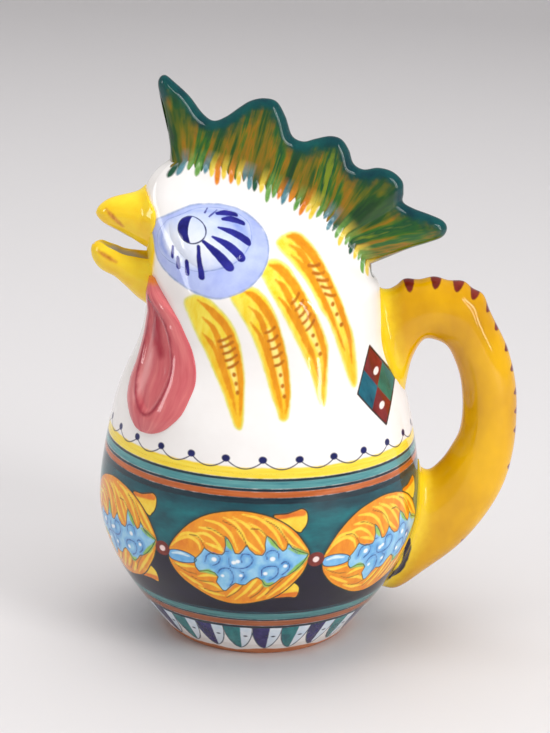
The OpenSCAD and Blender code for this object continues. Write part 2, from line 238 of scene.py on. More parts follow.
# Brush marks: soft streaks from 0 to 1, from coordinates that are stretched along the stroke
brush_marks, take, give = group(
    "brush marks", [("Vector", "Vector"), ("Contrast", "Float")], [("Tone", "Float")])
streaks = add(brush_marks, "TexNoise", {
    "Vector": take["Vector"], "Scale": 1.0, "Detail": 4.0, "Roughness": 0.6})
centred = math(brush_marks, "SUBTRACT", streaks.outputs[0], 0.5)
raised = math(brush_marks, "MULTIPLY_ADD", centred, take["Contrast"])
raised.node.inputs[2].default_value = 0.5
raised.node.use_clamp = True
brush_marks.links.new(raised, give["Tone"])

# Coat: paint over what is under it, inside the distance's zero, with an edge that wavers as a brush does
coat_inputs = [(label, "Color") for label in ("Under", "Thin", "Thick")]
coat_inputs += [(label, "Float") for label in ("Tone", "Distance", "Softness", "Waver", "Strength")]
coat, take, give = group("coat", coat_inputs, [("Colour", "Color"), ("Mask", "Float")])
place = add(coat, "TexCoord").outputs["Object"]
waver = add(coat, "TexNoise", {"Vector": place, "Scale": 300.0, "Detail": 2.0}).outputs[0]
moved = math(coat, "MULTIPLY_ADD", math(coat, "SUBTRACT", waver, 0.5), take["Waver"])
coat.links.new(take["Distance"], moved.node.inputs[2])
mask = add(coat, "MapRange", {"Value": moved, "From Min": take["Softness"],
                              "From Max": math(coat, "MULTIPLY", take["Softness"], -1.0)},
           interpolation_type="SMOOTHSTEP").outputs[0]
coat.links.new(mask, give["Mask"])
paint = blend(coat, take["Tone"], take["Thin"], take["Thick"])
share = math(coat, "MULTIPLY", mask, take["Strength"])
coat.links.new(blend(coat, share, take["Under"], paint), give["Colour"])

# Glaze skin: the height in metres of the slow waves and the fine orange peel of a fired glaze
glaze_skin, take, give = group("glaze skin", [("Waves", "Float"), ("Peel", "Float")], [("Height", "Float")])
place = add(glaze_skin, "TexCoord").outputs["Object"]
waves = add(glaze_skin, "TexNoise", {"Vector": place, "Scale": 55.0, "Detail": 1.0}).outputs[0]
peel = add(glaze_skin, "TexNoise", {"Vector": place, "Scale": 420.0, "Detail": 1.0}).outputs[0]
height = math(glaze_skin, "MULTIPLY_ADD", waves, take["Waves"])
glaze_skin.links.new(math(glaze_skin, "MULTIPLY", peel, take["Peel"]), height.node.inputs[2])
glaze_skin.links.new(height, give["Height"])


def use(tree, made_group, links):
    """Outputs of a group node with its inputs linked or set."""
    return add(tree, "Group", links, node_tree=made_group).outputs


def marks(tree, stretch, contrast=2.2, vector=None):
    """Brush marks that many per metre along x, y and z of the object, or of other coordinates."""
    vector = add(tree, "TexCoord").outputs["Object"] if vector is None else vector
    long = add(tree, "VectorMath", {0: vector, 1: stretch}, operation="MULTIPLY").outputs[0]
    return use(tree, brush_marks, {"Vector": long, "Contrast": contrast})["Tone"]


wave_height = 0.00016
peel_height = 0.000004
clay_roughness = 0.85


def glazed(name, ground, coats, roughness=0.07, bare=None):
    """Material of a glaze: a ground of two tones, (thin, thick, stretch of its marks), under coats of paint.
    A coat is (what it fills, thin, thick, softness, waver, stretch). It fills the inside of a field on the
    mesh, the outline of one, (field, half width), or a band from one height to another, all in mm. A field
    named after these is its strength, and a function in place of thin paints it. bare is the field outside
    which the clay shows."""
    material = bpy.data.materials.new(name)
    material.use_nodes = True
    tree = material.node_tree
    shader = tree.nodes["Principled BSDF"]
    thin, thick, stretch = ground
    if isinstance(thin, str):
        under = blend(tree, marks(tree, stretch), colour(thin), colour(thick))
    else:
        under = thin(tree)
    z_mm = None
    for field, thin, thick, softness, waver, stretch, *strength in coats:
        if isinstance(field, str):
            distance = field_value(tree, field)
        elif isinstance(field[0], str):
            line = field_value(tree, field[0])
            distance = math(tree, "SUBTRACT", math(tree, "ABSOLUTE", line), field[1])
        else:
            if z_mm is None:
                split = add(tree, "SeparateXYZ", {0: add(tree, "TexCoord").outputs["Object"]})
                z_mm = math(tree, "MULTIPLY", split.outputs[2], 1/MM)
            off = math(tree, "ABSOLUTE", math(tree, "SUBTRACT", z_mm, (field[0] + field[1])/2))
            distance = math(tree, "SUBTRACT", off, (field[1] - field[0])/2)
        first = colour(thin) if isinstance(thin, str) else thin(tree)
        share = field_value(tree, strength[0]) if strength else 1.0
        out = use(tree, coat, {"Under": under, "Thin": first, "Thick": colour(thick) if thick else first,
                               "Tone": marks(tree, stretch), "Distance": distance, "Softness": softness,
                               "Waver": waver, "Strength": share})
        under = out["Colour"]
        if field == bare:
            rough = {"Value": out["Mask"], "To Min": clay_roughness, "To Max": roughness}
            tree.links.new(add(tree, "MapRange", rough).outputs[0], shader.inputs["Roughness"])
    tree.links.new(under, shader.inputs["Base Color"])
    if bare is None:
        shader.inputs["Roughness"].default_value = roughness
    skin = use(tree, glaze_skin, {"Waves": wave_height, "Peel": peel_height})["Height"]
    bump = add(tree, "Bump", {"Strength": 1.0, "Distance": 1.0, "Height": skin})
    tree.links.new(bump.outputs[0], shader.inputs["Normal"])
    return material


petals = 26
petal_low = 4.5
petal_high = 19.5
petal_start = -36
petal_dash_z = 13.2
petal_dash_half = (1.1, 0.55)


def petal_fields(points):
    """Distances of the painted petals round the foot. Each is a U, its left half filled with teal or navy by
    turns, its right half pale with a thin outline and a dash."""
    r = np.hypot(points[..., 0], points[..., 1])
    turn = np.degrees(np.arctan2(points[..., 0], -points[..., 1]))
    pitch = 360/petals
    wide = np.radians(pitch)*r
    s = (points[..., 2] - petal_low)/(petal_high - petal_low)
    half = 0.5*(1 - (1 - np.clip(s, 0, 1))**2.3)**0.6
    past = np.maximum(-s, s - 1)*(petal_high - petal_low)
    fields = {}
    for name, first in (("petal_teal", 0), ("petal_navy", 1)):
        a = ((turn - petal_start)/pitch - first + 1) % 2 - 1
        fields[name] = np.maximum(np.maximum(np.abs(a) - half, a - 0.05 - 0.04*s)*wide, past)
    a = ((turn - petal_start)/pitch + 0.5) % 1 - 0.5
    fields["petal_pale"] = np.maximum(np.maximum(np.abs(a) - half, -a)*wide, past)
    fields["petal_edge"] = np.maximum((np.abs(a) - half)*wide*np.clip(0.5 + s, 0, 1), past)
    long, high = petal_dash_half
    dash = np.hypot((a - 0.25)*wide/long, (points[..., 2] - petal_dash_z)/high) - 1
    fields["petal_dash"] = 0.6*dash
    return {name: np.minimum(field, far_off) for name, field in fields.items()}


clay_edge = 3.6
even = (200, 200, 200)
petal_coats = [
    ("petal_pale", "eef3f8", "cbdeee", 0.3, 0.3, (220, 220, 60)),
    ("petal_teal", "2f8f8d", "0c5560", 0.25, 0.4, (260, 260, 60)),
    ("petal_navy", "3a2f78", "191440", 0.25, 0.4, (260, 260, 60)),
    (("petal_edge", 0.24), "46586a", "252f44", 0.25, 0.3, even),
    ("petal_dash", "30334d", "191b33", 0.25, 0.2, even)]
white_ground = ("fbf8f5", "f1ece8", (25, 25, 25))
inner = foot_r - foot_rim
curl = np.linspace(0, np.pi/2, 5)
inner_rows = 1 + len(curl)
foot_profile = np.concatenate([
    [[inner, foot_h]],
    np.stack([inner + foot_round*(1 - np.cos(curl)), foot_round*(1 - np.sin(curl))], 1),
    np.stack([foot_r - foot_round*(1 - np.sin(curl)), foot_round*(1 - np.cos(curl))], 1),
    wall(foot_round, foot_h, 12)[1:],
    [[inner, foot_h]]])
foot_grid = turned(foot_profile)
foot_fields = petal_fields(foot_grid)
turn = np.arange(turns)*2*np.pi/turns
foot_fields["glaze_edge"] = clay_edge + 0.5*np.sin(5*turn) + 0.4*np.sin(13*turn + 1) - foot_grid[..., 2]
foot_fields["glaze_edge"][:inner_rows] = far_off
foot = solid("foot", [(foot_grid, True)], "foot_ring", foot_fields)
foot.data.materials.append(glazed("bare clay and foot glaze", ("d08a62", "b5683f", (130, 130, 300)), [
    ("glaze_edge", "f6f2ee", "e6ddd6", 0.35, 0.9, (60, 60, 60)), *petal_coats], bare="glaze_edge"))


# Belly
# The thrown bowl with its floor, up to the yellow band. White tin glaze with painted bands outside, plain
# white inside. The neck is luted onto its top.
seam_z = 98
wall_t = 5
floor_t = 6
floor_round = 18
floor_top = foot_h + floor_t


def hollow_r(z):
    """Inner radius at height z: the wall's thickness inside the outer one, and rounded over the floor like a
    quarter of an ellipse."""
    rise = np.clip((z - floor_top)/floor_round, 0, 1)
    return (body_r(z) - wall_t)*np.sqrt(1 - (1 - rise)**2)


def hollow(z0, z1, n):
    """Profile of the hollow from height z0 to z1, with its steps drawn together over the floor."""
    z = z0 + (z1 - z0)*np.linspace(0, 1, n + 1)
    if z1 == floor_top:
        z = z1 + (z0 - z1)*np.linspace(1, 0, n + 1)**2
    return np.stack([hollow_r(z), z], axis=1)


pods = 6
pod_turn = -7.0
pod_r = 67
pod_z = 59
pod_squeeze = 0.1
bead_half = (3.9, 3.5)
bead_spot_half = (1.5, 1.4)
frieze_low = 28.8
frieze_high = 86.6
sketch_mid = 66
sketch_top = 89.9
sketch_across = 0.517
sketch_down = 0.56
sketch_tilt = 0.054
sketch_bend = 0.0004


def sketch(points):
    """Points of the pod's sketch, a grid with steps of about half a millimetre whose rows tilt and bend as
    the belly does in a front view, as millimetres round the belly and up it."""
    across, down = np.moveaxis(np.asarray(points, float), -1, 0)
    off = across - sketch_mid
    up = sketch_top - sketch_down*down + sketch_tilt*off - sketch_bend*off**2
    return np.stack([sketch_across*off, up], -1)


pod_ring = [
    (4, 47), (8, 39), (15, 31), (25, 23), (38, 17), (52, 14.5), (66, 14), (80, 16), (94, 20), (106, 26),
    (116, 34), (123, 43), (128, 52), (127, 60), (123, 70), (116, 79), (108, 87), (98, 93), (86, 96),
    (72, 98), (58, 97), (43, 92), (30, 84), (18, 75), (10, 66), (5, 57)]
heart_ring = [
    (29, 54), (33, 51), (36, 48), (38.5, 44), (41, 46), (46, 49), (54, 50), (56, 48), (57, 42), (56, 34),
    (59, 37), (62, 42), (65, 49), (69, 49.5), (72, 46), (74.5, 42), (77, 46), (82, 50.5), (88, 51.5),
    (90.5, 48), (90, 42), (91, 35), (95, 38), (100, 44), (105, 49), (108, 47), (109, 42), (113, 47),
    (120, 50.5), (127, 53), (122, 61), (116, 67), (110, 71), (105, 72.5), (100, 77), (95, 80), (91, 79),
    (88, 74), (84, 71), (79, 73.5), (74, 78), (70, 78), (65, 76), (61, 79), (56, 84), (53, 83), (50, 78),
    (48, 75), (50, 70), (47, 66), (40, 64), (33, 65), (30, 61)]
stem_ring = [
    (4, 49), (6, 46.5), (12, 46), (20, 47.5), (27, 50.5), (31, 54), (29, 57), (20, 57.5), (12, 56),
    (6, 53.5)]
fin_rings = [
    [(96, 20), (108, 18.5), (116, 16.5), (121, 15.5), (125, 18), (126, 23), (125, 28), (122, 32), (117, 34)],
    [(96, 93), (106, 93), (113, 93), (120, 94), (122, 90), (122, 84), (119, 80), (115, 79), (108, 86)]]
fin_shades = [[(100, 20), (115, 19), (122, 18.5)], [(100, 92), (110, 91), (120, 90.5)]]
lobe_lights = [
    [(7, 43), (15, 37), (25, 35), (33, 40), (35, 46)], [(12, 37), (20, 32), (30, 33), (38, 39)],
    [(25, 33), (38, 32), (47, 37), (54, 45)], [(40, 40), (48, 43), (55, 47)], [(33, 27), (45, 29), (54, 35)],
    [(38, 21), (50, 24), (60, 32), (67, 46)], [(54, 19), (64, 24), (71, 33), (75, 41)],
    [(66, 30), (75, 40), (86, 49)], [(62, 19), (74, 26), (83, 36), (89, 46)], [(76, 24), (85, 30), (90, 36)],
    [(70, 17), (86, 22), (98, 33), (105, 46)], [(88, 20), (98, 26), (107, 38)],
    [(97, 23), (108, 31), (118, 42), (124, 49)], [(108, 38), (112, 44), (119, 49)],
    [(8, 58), (18, 60), (29, 61)], [(31, 70), (40, 68.5), (48, 69.5)], [(14, 66), (24, 73), (34, 79)],
    [(33, 74), (44, 77), (53, 83)], [(30, 80), (42, 86), (54, 89)], [(57, 90), (64, 84), (70, 79)],
    [(64, 93), (74, 85), (81, 76), (84, 73)], [(76, 90), (84, 83), (88, 78)], [(84, 93), (92, 86), (94, 82)],
    [(93, 92), (105, 82), (113, 74), (123, 63)], [(106, 87), (117, 78), (125, 65)]]
lobe_lines = [
    [(39, 44), (33, 35), (25, 33)], [(56, 35), (48, 30), (40, 27)], [(75, 43), (70, 33), (64, 27), (54, 22)],
    [(91, 35), (85, 30), (78, 29)], [(109, 42), (100, 29), (90, 23)], [(109, 43), (118, 48), (127, 52)],
    [(30, 68), (20, 65), (9, 58)], [(45, 75), (33, 74), (25, 70)], [(54, 84), (45, 85), (36, 82)],
    [(72, 78), (66, 85), (56, 91)], [(91, 79), (86, 86), (78, 92)], [(108, 72), (100, 80), (92, 89)]]
heart_whites = [
    ((47, 54), 1.9), ((64, 57), 1.7), ((67.5, 56), 1.5), ((96.5, 55), 1.9), ((91, 68), 1.6),
    ((107.5, 62), 1.5), ((54, 69), 1.4), ((70, 69), 1.4)]
heart_curls = [
    [(39, 56), (41, 50), (47, 48.5), (52, 52), (51, 57), (46, 59.5)],
    [(60, 53), (61, 60), (68, 62.5), (76, 61), (80, 56), (78, 51), (72, 49.5), (70, 53), (71, 57)],
    [(50, 66), (53, 62.5), (59, 62), (63, 67), (63, 74), (60, 79)],
    [(69, 65), (72.5, 66.5), (73, 70), (70, 74)],
    [(88, 70), (88, 64), (93, 61.5), (100, 62), (102, 67), (99, 72), (94, 74.5)],
    [(104, 60), (107, 58), (111, 61), (110, 66), (105, 70)],
    [(92, 55), (91, 50), (96, 47.5), (101, 50), (102, 55)],
    [(57, 47), (60, 47)], [(113, 47), (117, 51)]]
heart_greens = [
    [(57, 37), (60, 42), (62, 46)], [(92, 37), (97, 42), (101, 47)], [(110, 47), (118, 50), (126, 53)],
    [(126, 56), (118, 64), (110, 70)], [(89, 74), (92, 79), (98, 77)], [(34, 65), (42, 65), (48, 68)]]


def pod_fields(points):
    """Distances of the painted pods round the belly, each a leafy pod with a blue heart, and of the beads
    that link them."""
    turn = np.arctan2(points[..., 0], -points[..., 1]) - np.radians(pod_turn)
    step = 2*np.pi/pods
    turn = turn + pod_squeeze*np.sin(turn)
    p = np.stack([((turn/step + 0.5) % 1 - 0.5)*step*pod_r, points[..., 2]], -1)

    def strokes(paths, half):
        """Distance to the nearest of several strokes of the sketch."""
        return least(stroke(p, sketch(path), half, 4) for path in paths)

    pod = area(p, sketch(pod_ring))
    heart = area(p, sketch(heart_ring), 1)
    stem = area(p, sketch(stem_ring))
    fins = least(area(p, sketch(ring)) for ring in fin_rings)
    bead_x = np.abs(np.abs(p[..., 0]) - step*pod_r/2)
    bead = np.stack([bead_x, p[..., 1]], -1)
    return {
        "fins": fins, "fin_shade": np.maximum(strokes(fin_shades, 1.5), fins),
        "pod": pod, "pod_shade": np.maximum(pod - 1.0, pod_z + 1 - p[..., 1]),
        "lobe_light": np.maximum(strokes(lobe_lights, [0.3, 0.75, 0.75, 0.35]), pod + 0.5),
        "lobe_line": np.maximum(strokes(lobe_lines, 0.3), pod),
        "heart": heart, "heart_deep": np.maximum(heart, strokes(heart_curls, 1.6)),
        "heart_green": np.maximum(strokes(heart_greens, [0.5, 1.3, 0.5]), pod + 0.5),
        "stem": stem,
        "stem_light": np.maximum(strokes([[(8, 49), (16, 49), (25, 52)]], [0.3, 0.8, 0.3]), stem),
        "heart_white": least(blob(p, sketch(spot), [size*0.62, size*0.55]) for spot, size in heart_whites),
        "heart_curl": strokes(heart_curls, 0.3),
        "bead": blob(bead, (0, pod_z), bead_half),
        "bead_spot": blob(bead, (0, pod_z), bead_spot_half)}


belly_rows = 130
belly_profile = np.concatenate([
    [[0, foot_h]], wall(foot_h, seam_z, belly_rows), hollow(seam_z, floor_top, 16)])
belly_grid = turned(belly_profile)
belly_fields = {**petal_fields(belly_grid), **pod_fields(belly_grid)}
for field in belly_fields.values():
    field[belly_rows + 2:] = far_off
belly = solid("belly_bowl", [(belly_grid, True)], "belly", belly_fields)
flat = (60, 60, 900)
yellow_band = ((96.4, 101.1), "ffe95a", "f7d22c", 0.5, 0.6, flat)
upper_bands = [
    yellow_band,
    ((95.0, 96.4), "2f4a52", "16242c", 0.3, 0.3, flat),
    ((92.0, 95.2), "6aa9a8", "3a7d86", 0.3, 0.3, flat),
    ((90.6, 92.0), "1d3a44", "101c2a", 0.3, 0.3, flat),
    ((88.0, 90.7), "cf7038", "a8501f", 0.3, 0.3, flat),
    ((85.3, 88.1), "163a44", "0b1a28", 0.35, 0.5, flat)]
lower_bands = [
    ((28.8, 30.6), "23505a", "10182e", 0.4, 0.3, flat),
    ((25.4, 29.0), "5c9896", "35686e", 0.3, 0.3, flat),
    ((24.4, 25.5), "1d3a44", "101c2a", 0.25, 0.3, flat),
    ((20.9, 24.5), "b5683c", "86401f", 0.3, 0.3, flat),
    ((19.4, 20.9), "1d2c3c", "0d1424", 0.3, 0.3, flat)]
cloudy = (45, 45, 130)
pod_coats = [
    ((pod_z, frieze_high), "0d7a80", "043c49", 0.4, 0.8, cloudy),
    ((80.5, frieze_high), "0a5560", "052f3c", 2.4, 3.0, cloudy),
    ("pod_shade", "0a4c58", "062f3e", 1.6, 1.5, cloudy),
    ((frieze_low, pod_z), "170f2e", "080513", 0.4, 0.8, cloudy),
    ("fins", "ffe04a", "f6bf25", 0.25, 0.3, even),
    ("fin_shade", "f08a1c", "d9650f", 0.6, 0.6, even),
    (("fins", 0.3), "2c2a18", "14160f", 0.25, 0.2, even),
    ("pod", "f7a41f", "e57c12", 0.25, 0.2, (260, 260, 160)),
    ("lobe_light", "ffe04d", "fbc62e", 0.35, 0.5, (260, 260, 160)),
    ("lobe_line", "a8650f", "7a4c10", 0.35, 0.2, even),
    ("heart", "a9d8f2", "74bde6", 0.2, 0.2, even),
    ("heart_deep", "8ec6ee", "4a97d8", 0.9, 0.8, even),
    ("stem", "8cc8ef", "5aa4de", 0.2, 0.2, even),
    ("stem_light", "e6f6fb", "cfeaf6", 0.4, 0.3, even),
    ("heart_green", "a8cf6a", "6fae52", 0.5, 0.5, even),
    ("heart_white", "ffffff", "eef6fb", 0.35, 0.3, even),
    ("heart_curl", "2f5aa8", "1f3a80", 0.3, 0.2, even),
    (("stem", 0.22), "3a5560", "25323c", 0.25, 0.2, even),
    (("heart", 0.22), "4a5a2c", "33401f", 0.25, 0.2, even),
    (("pod", 0.3), "2f4420", "1c2414", 0.25, 0.25, even),
    ("bead", "8c3226", "5e1c18", 0.3, 0.3, even),
    ("bead_spot", "ffe9e4", "f6d3cc", 0.3, 0.3, even)]
belly.data.materials.append(glazed("banded glaze", white_ground, [
    *petal_coats, *pod_coats, *upper_bands, *lower_bands]))


# Neck
# The thrown upper cone. The pinched head is luted to its rim, and the seam doesn't show under the glaze.
scallops = 27
scallop_z = 104.5
scallop_sag = 3.8
scallop_turn = 1.4
feather_sides = [
    [[(-35, 167.4), (-32.4, 160), (-28, 152), (-24, 145.4), (-20.3, 138), (-16.3, 130.4), (-13.6, 124),
      (-10.8, 117.8)],
     [(-27, 170.8), (-18.3, 165.5), (-13.6, 160), (-10.8, 154), (-9, 146.5), (-7.9, 139), (-7.7, 132),
      (-8, 118.5)]],
    [[(-15, 173.4), (-11, 166.4), (-6, 158.5), (-2, 150), (1.3, 141), (4.6, 131.4), (7.3, 125), (8.4, 121.6)],
     [(-6, 176), (0, 173), (4.5, 166.5), (8, 157), (10.5, 147.5), (12, 138), (12.5, 130), (11.5, 121.8)]],
    [[(-1.8, 182.5), (1.5, 176.5), (6.5, 169), (10.8, 161.4), (15, 153.5), (19.4, 144.6), (22.9, 136),
      (26, 127)],
     [(3, 185.8), (9.6, 183.5), (13.5, 179), (18.4, 172.4), (22.8, 165), (26.2, 157), (28.5, 148.5),
      (28, 128)]],
    [[(5, 192), (6.5, 189), (10.8, 185.5), (16.4, 180), (21.2, 174), (25.4, 166.5), (30, 158.5), (39, 134)],
     [(11, 194.5), (16.5, 193), (22.8, 187), (28, 179.5), (32.5, 172), (36.3, 162.5), (40, 151), (42, 134)]]]
feather_brushing = [
    ([(0.62, 0.02), (0.76, 0.14), (0.84, 0.35), (0.85, 0.6), (0.8, 0.85), (0.7, 0.95)],
     [0.3, 1.7, 1.7, 1.5, 1, 0.3]),
    ([(0.38, 0.15), (0.5, 0.25), (0.44, 0.4), (0.33, 0.55), (0.3, 0.75), (0.35, 0.92)],
     [0.3, 1.3, 1.5, 1.3, 1, 0.3]),
    ([(0.16, 0.25), (0.26, 0.36), (0.26, 0.5), (0.22, 0.7)], [0.3, 1.1, 1.1, 0.5])]
feather_ticks = [0.36, 0.415, 0.47, 0.525, 0.58]
feather_dots = [0.65, 0.72, 0.8]
rhomb = np.array([(47.7, 146), (60.5, 128), (56.3, 112), (42.5, 128.2)])
eye_patch = [
    (-51, 196.4), (-42, 201.7), (-33, 205.4), (-22.5, 206), (-13.5, 204.4), (-6, 200.4), (-0.5, 195),
    (1.3, 188.6), (-0.3, 183), (-4.8, 177.5), (-11.3, 173.6), (-19.3, 170.7), (-27.5, 171), (-35, 173),
    (-42, 176), (-47, 179.7), (-49.2, 184), (-50.2, 190)]


def side_fields(points):
    """Distances of what is painted on the sides of the neck and the head, from x and z alone, so that both
    sides match: four feathers, the rhomb of four fields, the yellow round the beak and the blue patch round
    the eye."""
    p = points[..., [0, 2]]
    ground, brushing, light, ticks = [], [], [], []
    for left, right in np.array(feather_sides, float):
        last = len(left) - 1

        def spot(across, down):
            """Place that share across the feather and down it."""
            start, end = at(left, last*down), at(right, last*down)
            return start + np.asarray(across)[..., None]*(end - start)

        ground.append(area(p, np.concatenate([left, right[::-1]])))
        for path, half in feather_brushing:
            path = np.array(path)
            brushing.append(stroke(p, spot(path[:, 0], path[:, 1]), half))
        lit = np.linspace(0.35, 0.8, 6)
        light.append(stroke(p, spot(0.58 + 0*lit, lit), [0.2, 1.3, 1.1, 0.3]))
        for down in feather_ticks:
            path = spot(np.array([0.46, 0.64, 0.84]), down + np.array([0, 0.01, 0.006]))
            ticks.append(stroke(p, path, 0.62))
        for down in feather_dots:
            ticks.append(blob(p, spot(np.array(0.6), down), [0.85, 0.95]))
    top, right, low, left = rhomb
    mids = [(top + right)/2, (right + low)/2, (low + left)/2, (left + top)/2]
    centre = rhomb.mean(0)
    beak_edge = np.interp(p[..., 1], [160, 164, 168, 174.5, 182.5, 188, 195, 199, 202.5, 207],
                          [-52, -52, -51.5, -50.5, -49.6, -49, -49.8, -50.5, -53.3, -55.5])
    ground = least(ground)
    return {
        "feather": ground, "feather_brush": np.maximum(least(brushing), ground + 0.2),
        "feather_low": np.clip((158 - p[..., 1])/30, 0, 0.8),
        "feather_light": least(light), "feather_tick": least(ticks), "rhomb": area(p, rhomb, 1),
        "rhomb_red": least(area(p, ring, 1) for ring in (
            [top, mids[0], centre, mids[3]], [low, mids[2], centre, mids[1]])),
        "rhomb_green": area(p, [right, mids[1], centre, mids[0]], 1),
        "rhomb_spot": least([blob(p, (51, 134.6), [1.2, 1.5]), blob(p, (54, 120.6), [1.2, 1.5])]),
        "beak_edge": np.maximum(np.maximum(p[..., 0] - beak_edge, p[..., 1] - 207.5), 159 - p[..., 1]),
        "eye_patch": area(p, eye_patch)}


def scallop_fields(points):
    """Distances of the thin line that sags from dot to dot round the foot of the neck."""
    turn = np.degrees(np.arctan2(points[..., 0], -points[..., 1])) - scallop_turn
    pitch = 360/scallops
    share = (turn/pitch) % 1
    r = np.hypot(points[..., 0], points[..., 1])
    sag = scallop_z - 0.3 - scallop_sag*np.sin(np.pi*share)**0.8
    slope = scallop_sag*0.8*np.pi*np.cos(np.pi*share)/(np.radians(pitch)*r)
    line = np.clip((points[..., 2] - sag)/np.hypot(1, slope), -far_off, far_off)
    near = ((share + 0.5) % 1 - 0.5)*np.radians(pitch)*r
    dots = blob(np.stack([near + 0.3, points[..., 2]], -1), (0, scallop_z), [1.9, 1.55])
    return {"scallop": line, "scallop_dot": dots}


neck_rows = 118
neck_outer = wall(seam_z, head_z, neck_rows)
neck_profile = np.concatenate([neck_outer, hollow(head_z, seam_z, 12), neck_outer[:1]])
neck_grid = turned(neck_profile)
neck_fields = {**side_fields(neck_grid), **scallop_fields(neck_grid)}
for field in neck_fields.values():
    field[neck_rows + 1:] = far_off
neck = solid("neck_cone", [(neck_grid, True)], "neck", neck_fields)
down = (330, 330, 90)
side_coats = [
    ("beak_edge", "ffe23a", "fccb1c", 0.9, 0.8, (120, 120, 120)),
    ("feather", "fdec60", "f5cf1c", 0.6, 0.6, down),
    ("feather", "f8c426", "eca60e", 0.6, 0.6, down, "feather_low"),
    (("feather", 0.35), "ece682", "dcd84e", 0.8, 0.6, down),
    ("feather_brush", "f0a31a", "dd850c", 0.55, 1.1, down),
    ("feather_light", "fff0a0", "ffdf58", 0.7, 0.8, down),
    ("feather_tick", "cf7a10", "a85a0c", 0.5, 0.5, down),
    ("rhomb", "1f6f80", "0e4458", 0.2, 0.2, (200, 200, 100)),
    ("rhomb_green", "2c7a66", "175248", 0.25, 0.2, (200, 200, 100)),
    ("rhomb_red", "8a2a26", "621818", 0.25, 0.2, (200, 200, 100)),
    (("rhomb", 0.3), "3c2a22", "241a18", 0.25, 0.2, even),
    ("rhomb_spot", "fff0ec", "f6dcd6", 0.3, 0.2, even)]
neck.data.materials.append(glazed("white glaze of the neck", white_ground, [
    yellow_band, (("scallop", 0.26), "2f3358", "1c2142", 0.3, 0.15, even),
    ("scallop_dot", "23286a", "151a4a", 0.35, 0.3, even), *side_coats]))


# Head
# Pinched from the neck's round rim to a ridge under the comb, with the throat cut through its front. The
# comb's outline and base line shape it, so they are worked out here.
comb_l = 132
comb_h = 84
comb_front = 50
comb_z = 176.5
comb_edge = 4.2
comb_round = 5
comb_swell = 4
swell_run = 22
comb_shares = np.array([
    [0.042, 0.542, 0], [0.041, 0.649, 0.01], [0.023, 0.804, 0.03], [0, 0.929, 0.05],
    [0.003, 0.982, 0.07], [0.023, 0.999, 0.09], [0.053, 0.965, 0.11], [0.106, 0.89, 0.15],
    [0.152, 0.799, 0.19], [0.189, 0.762, 0.23], [0.231, 0.786, 0.28], [0.277, 0.839, 0.33],
    [0.314, 0.875, 0.38], [0.358, 0.89, 0.43], [0.402, 0.873, 0.48], [0.433, 0.795, 0.52],
    [0.457, 0.694, 0.56], [0.495, 0.663, 0.6], [0.538, 0.68, 0.65], [0.586, 0.696, 0.7],
    [0.625, 0.681, 0.74], [0.652, 0.625, 0.77], [0.67, 0.551, 0.79], [0.705, 0.52, 0.81],
    [0.754, 0.531, 0.83], [0.803, 0.513, 0.85], [0.839, 0.462, 0.865], [0.845, 0.399, 0.875],
    [0.845, 0.349, 0.885], [0.879, 0.315, 0.895], [0.939, 0.282, 0.905], [0.985, 0.25, 0.915],
    [1, 0.208, 0.93], [0.985, 0.161, 0.945], [0.939, 0.129, 0.955], [0.876, 0.094, 0.97],
    [0.808, 0.046, 0.985], [0.745, 0.001, 1]])
base_shares = np.array([
    [0.042, 0.542], [0.129, 0.56], [0.273, 0.518], [0.439, 0.417], [0.606, 0.286], [0.745, 0.001]])
comb_size = np.array([comb_l, comb_h])
comb_start = np.array([-comb_front, comb_z])
comb_cols = 10
comb_last = len(comb_shares) - 1
columns = np.linspace(0, comb_last, comb_last*comb_cols + 1)


def comb_edge_at(u):
    """Outline of the comb in the middle plane at place u, counted in its points."""
    return at(comb_shares, u)[..., :2]*comb_size + comb_start


def comb_place(u):
    """Share of the base line that place u of the outline grows from."""
    return np.clip(at(comb_shares, u)[..., 2], 0, 1)


def comb_base_at(u):
    """Base line of the comb in the middle plane, under place u of the outline."""
    return at(base_shares, (len(base_shares) - 1)*comb_place(u))*comb_size + comb_start


outline = comb_edge_at(columns)


def edge_gap(p, border=outline):
    """Least distance from points in the middle plane to the comb's outline, or to a stretch of it."""
    a, b = border[:-1], border[1:]
    run = b - a
    flat = p.reshape(-1, 1, 2)
    share = np.clip(((flat - a)*run).sum(-1)/(run*run).sum(-1), 0, 1)
    return np.linalg.norm(flat - a - share[..., None]*run, axis=-1).min(1).reshape(p.shape[:-1])


def comb_half(p, gain):
    """Half thickness of the comb at points p: its rounded edge, and the gain on the way down to the base."""
    return comb_edge*np.sqrt(1 - (1 - np.clip(edge_gap(p)/comb_round, 0, 1))**2) + gain


def swell(length):
    """Gain of half thickness at the base of columns of the comb of this length."""
    return comb_swell*np.clip(length/swell_run, 0, 1)


head_rise = 20
nape_share = 0.65
brow = 21
brow_drop = 12
nape_drop = 9
flare = 0.13
lean_front = np.radians(-15)
lean_back = np.radians(82)
crown = 12
crown_share = 0.6
base_half = comb_half(comb_base_at(columns), swell(np.linalg.norm(outline - comb_base_at(columns), axis=1)))


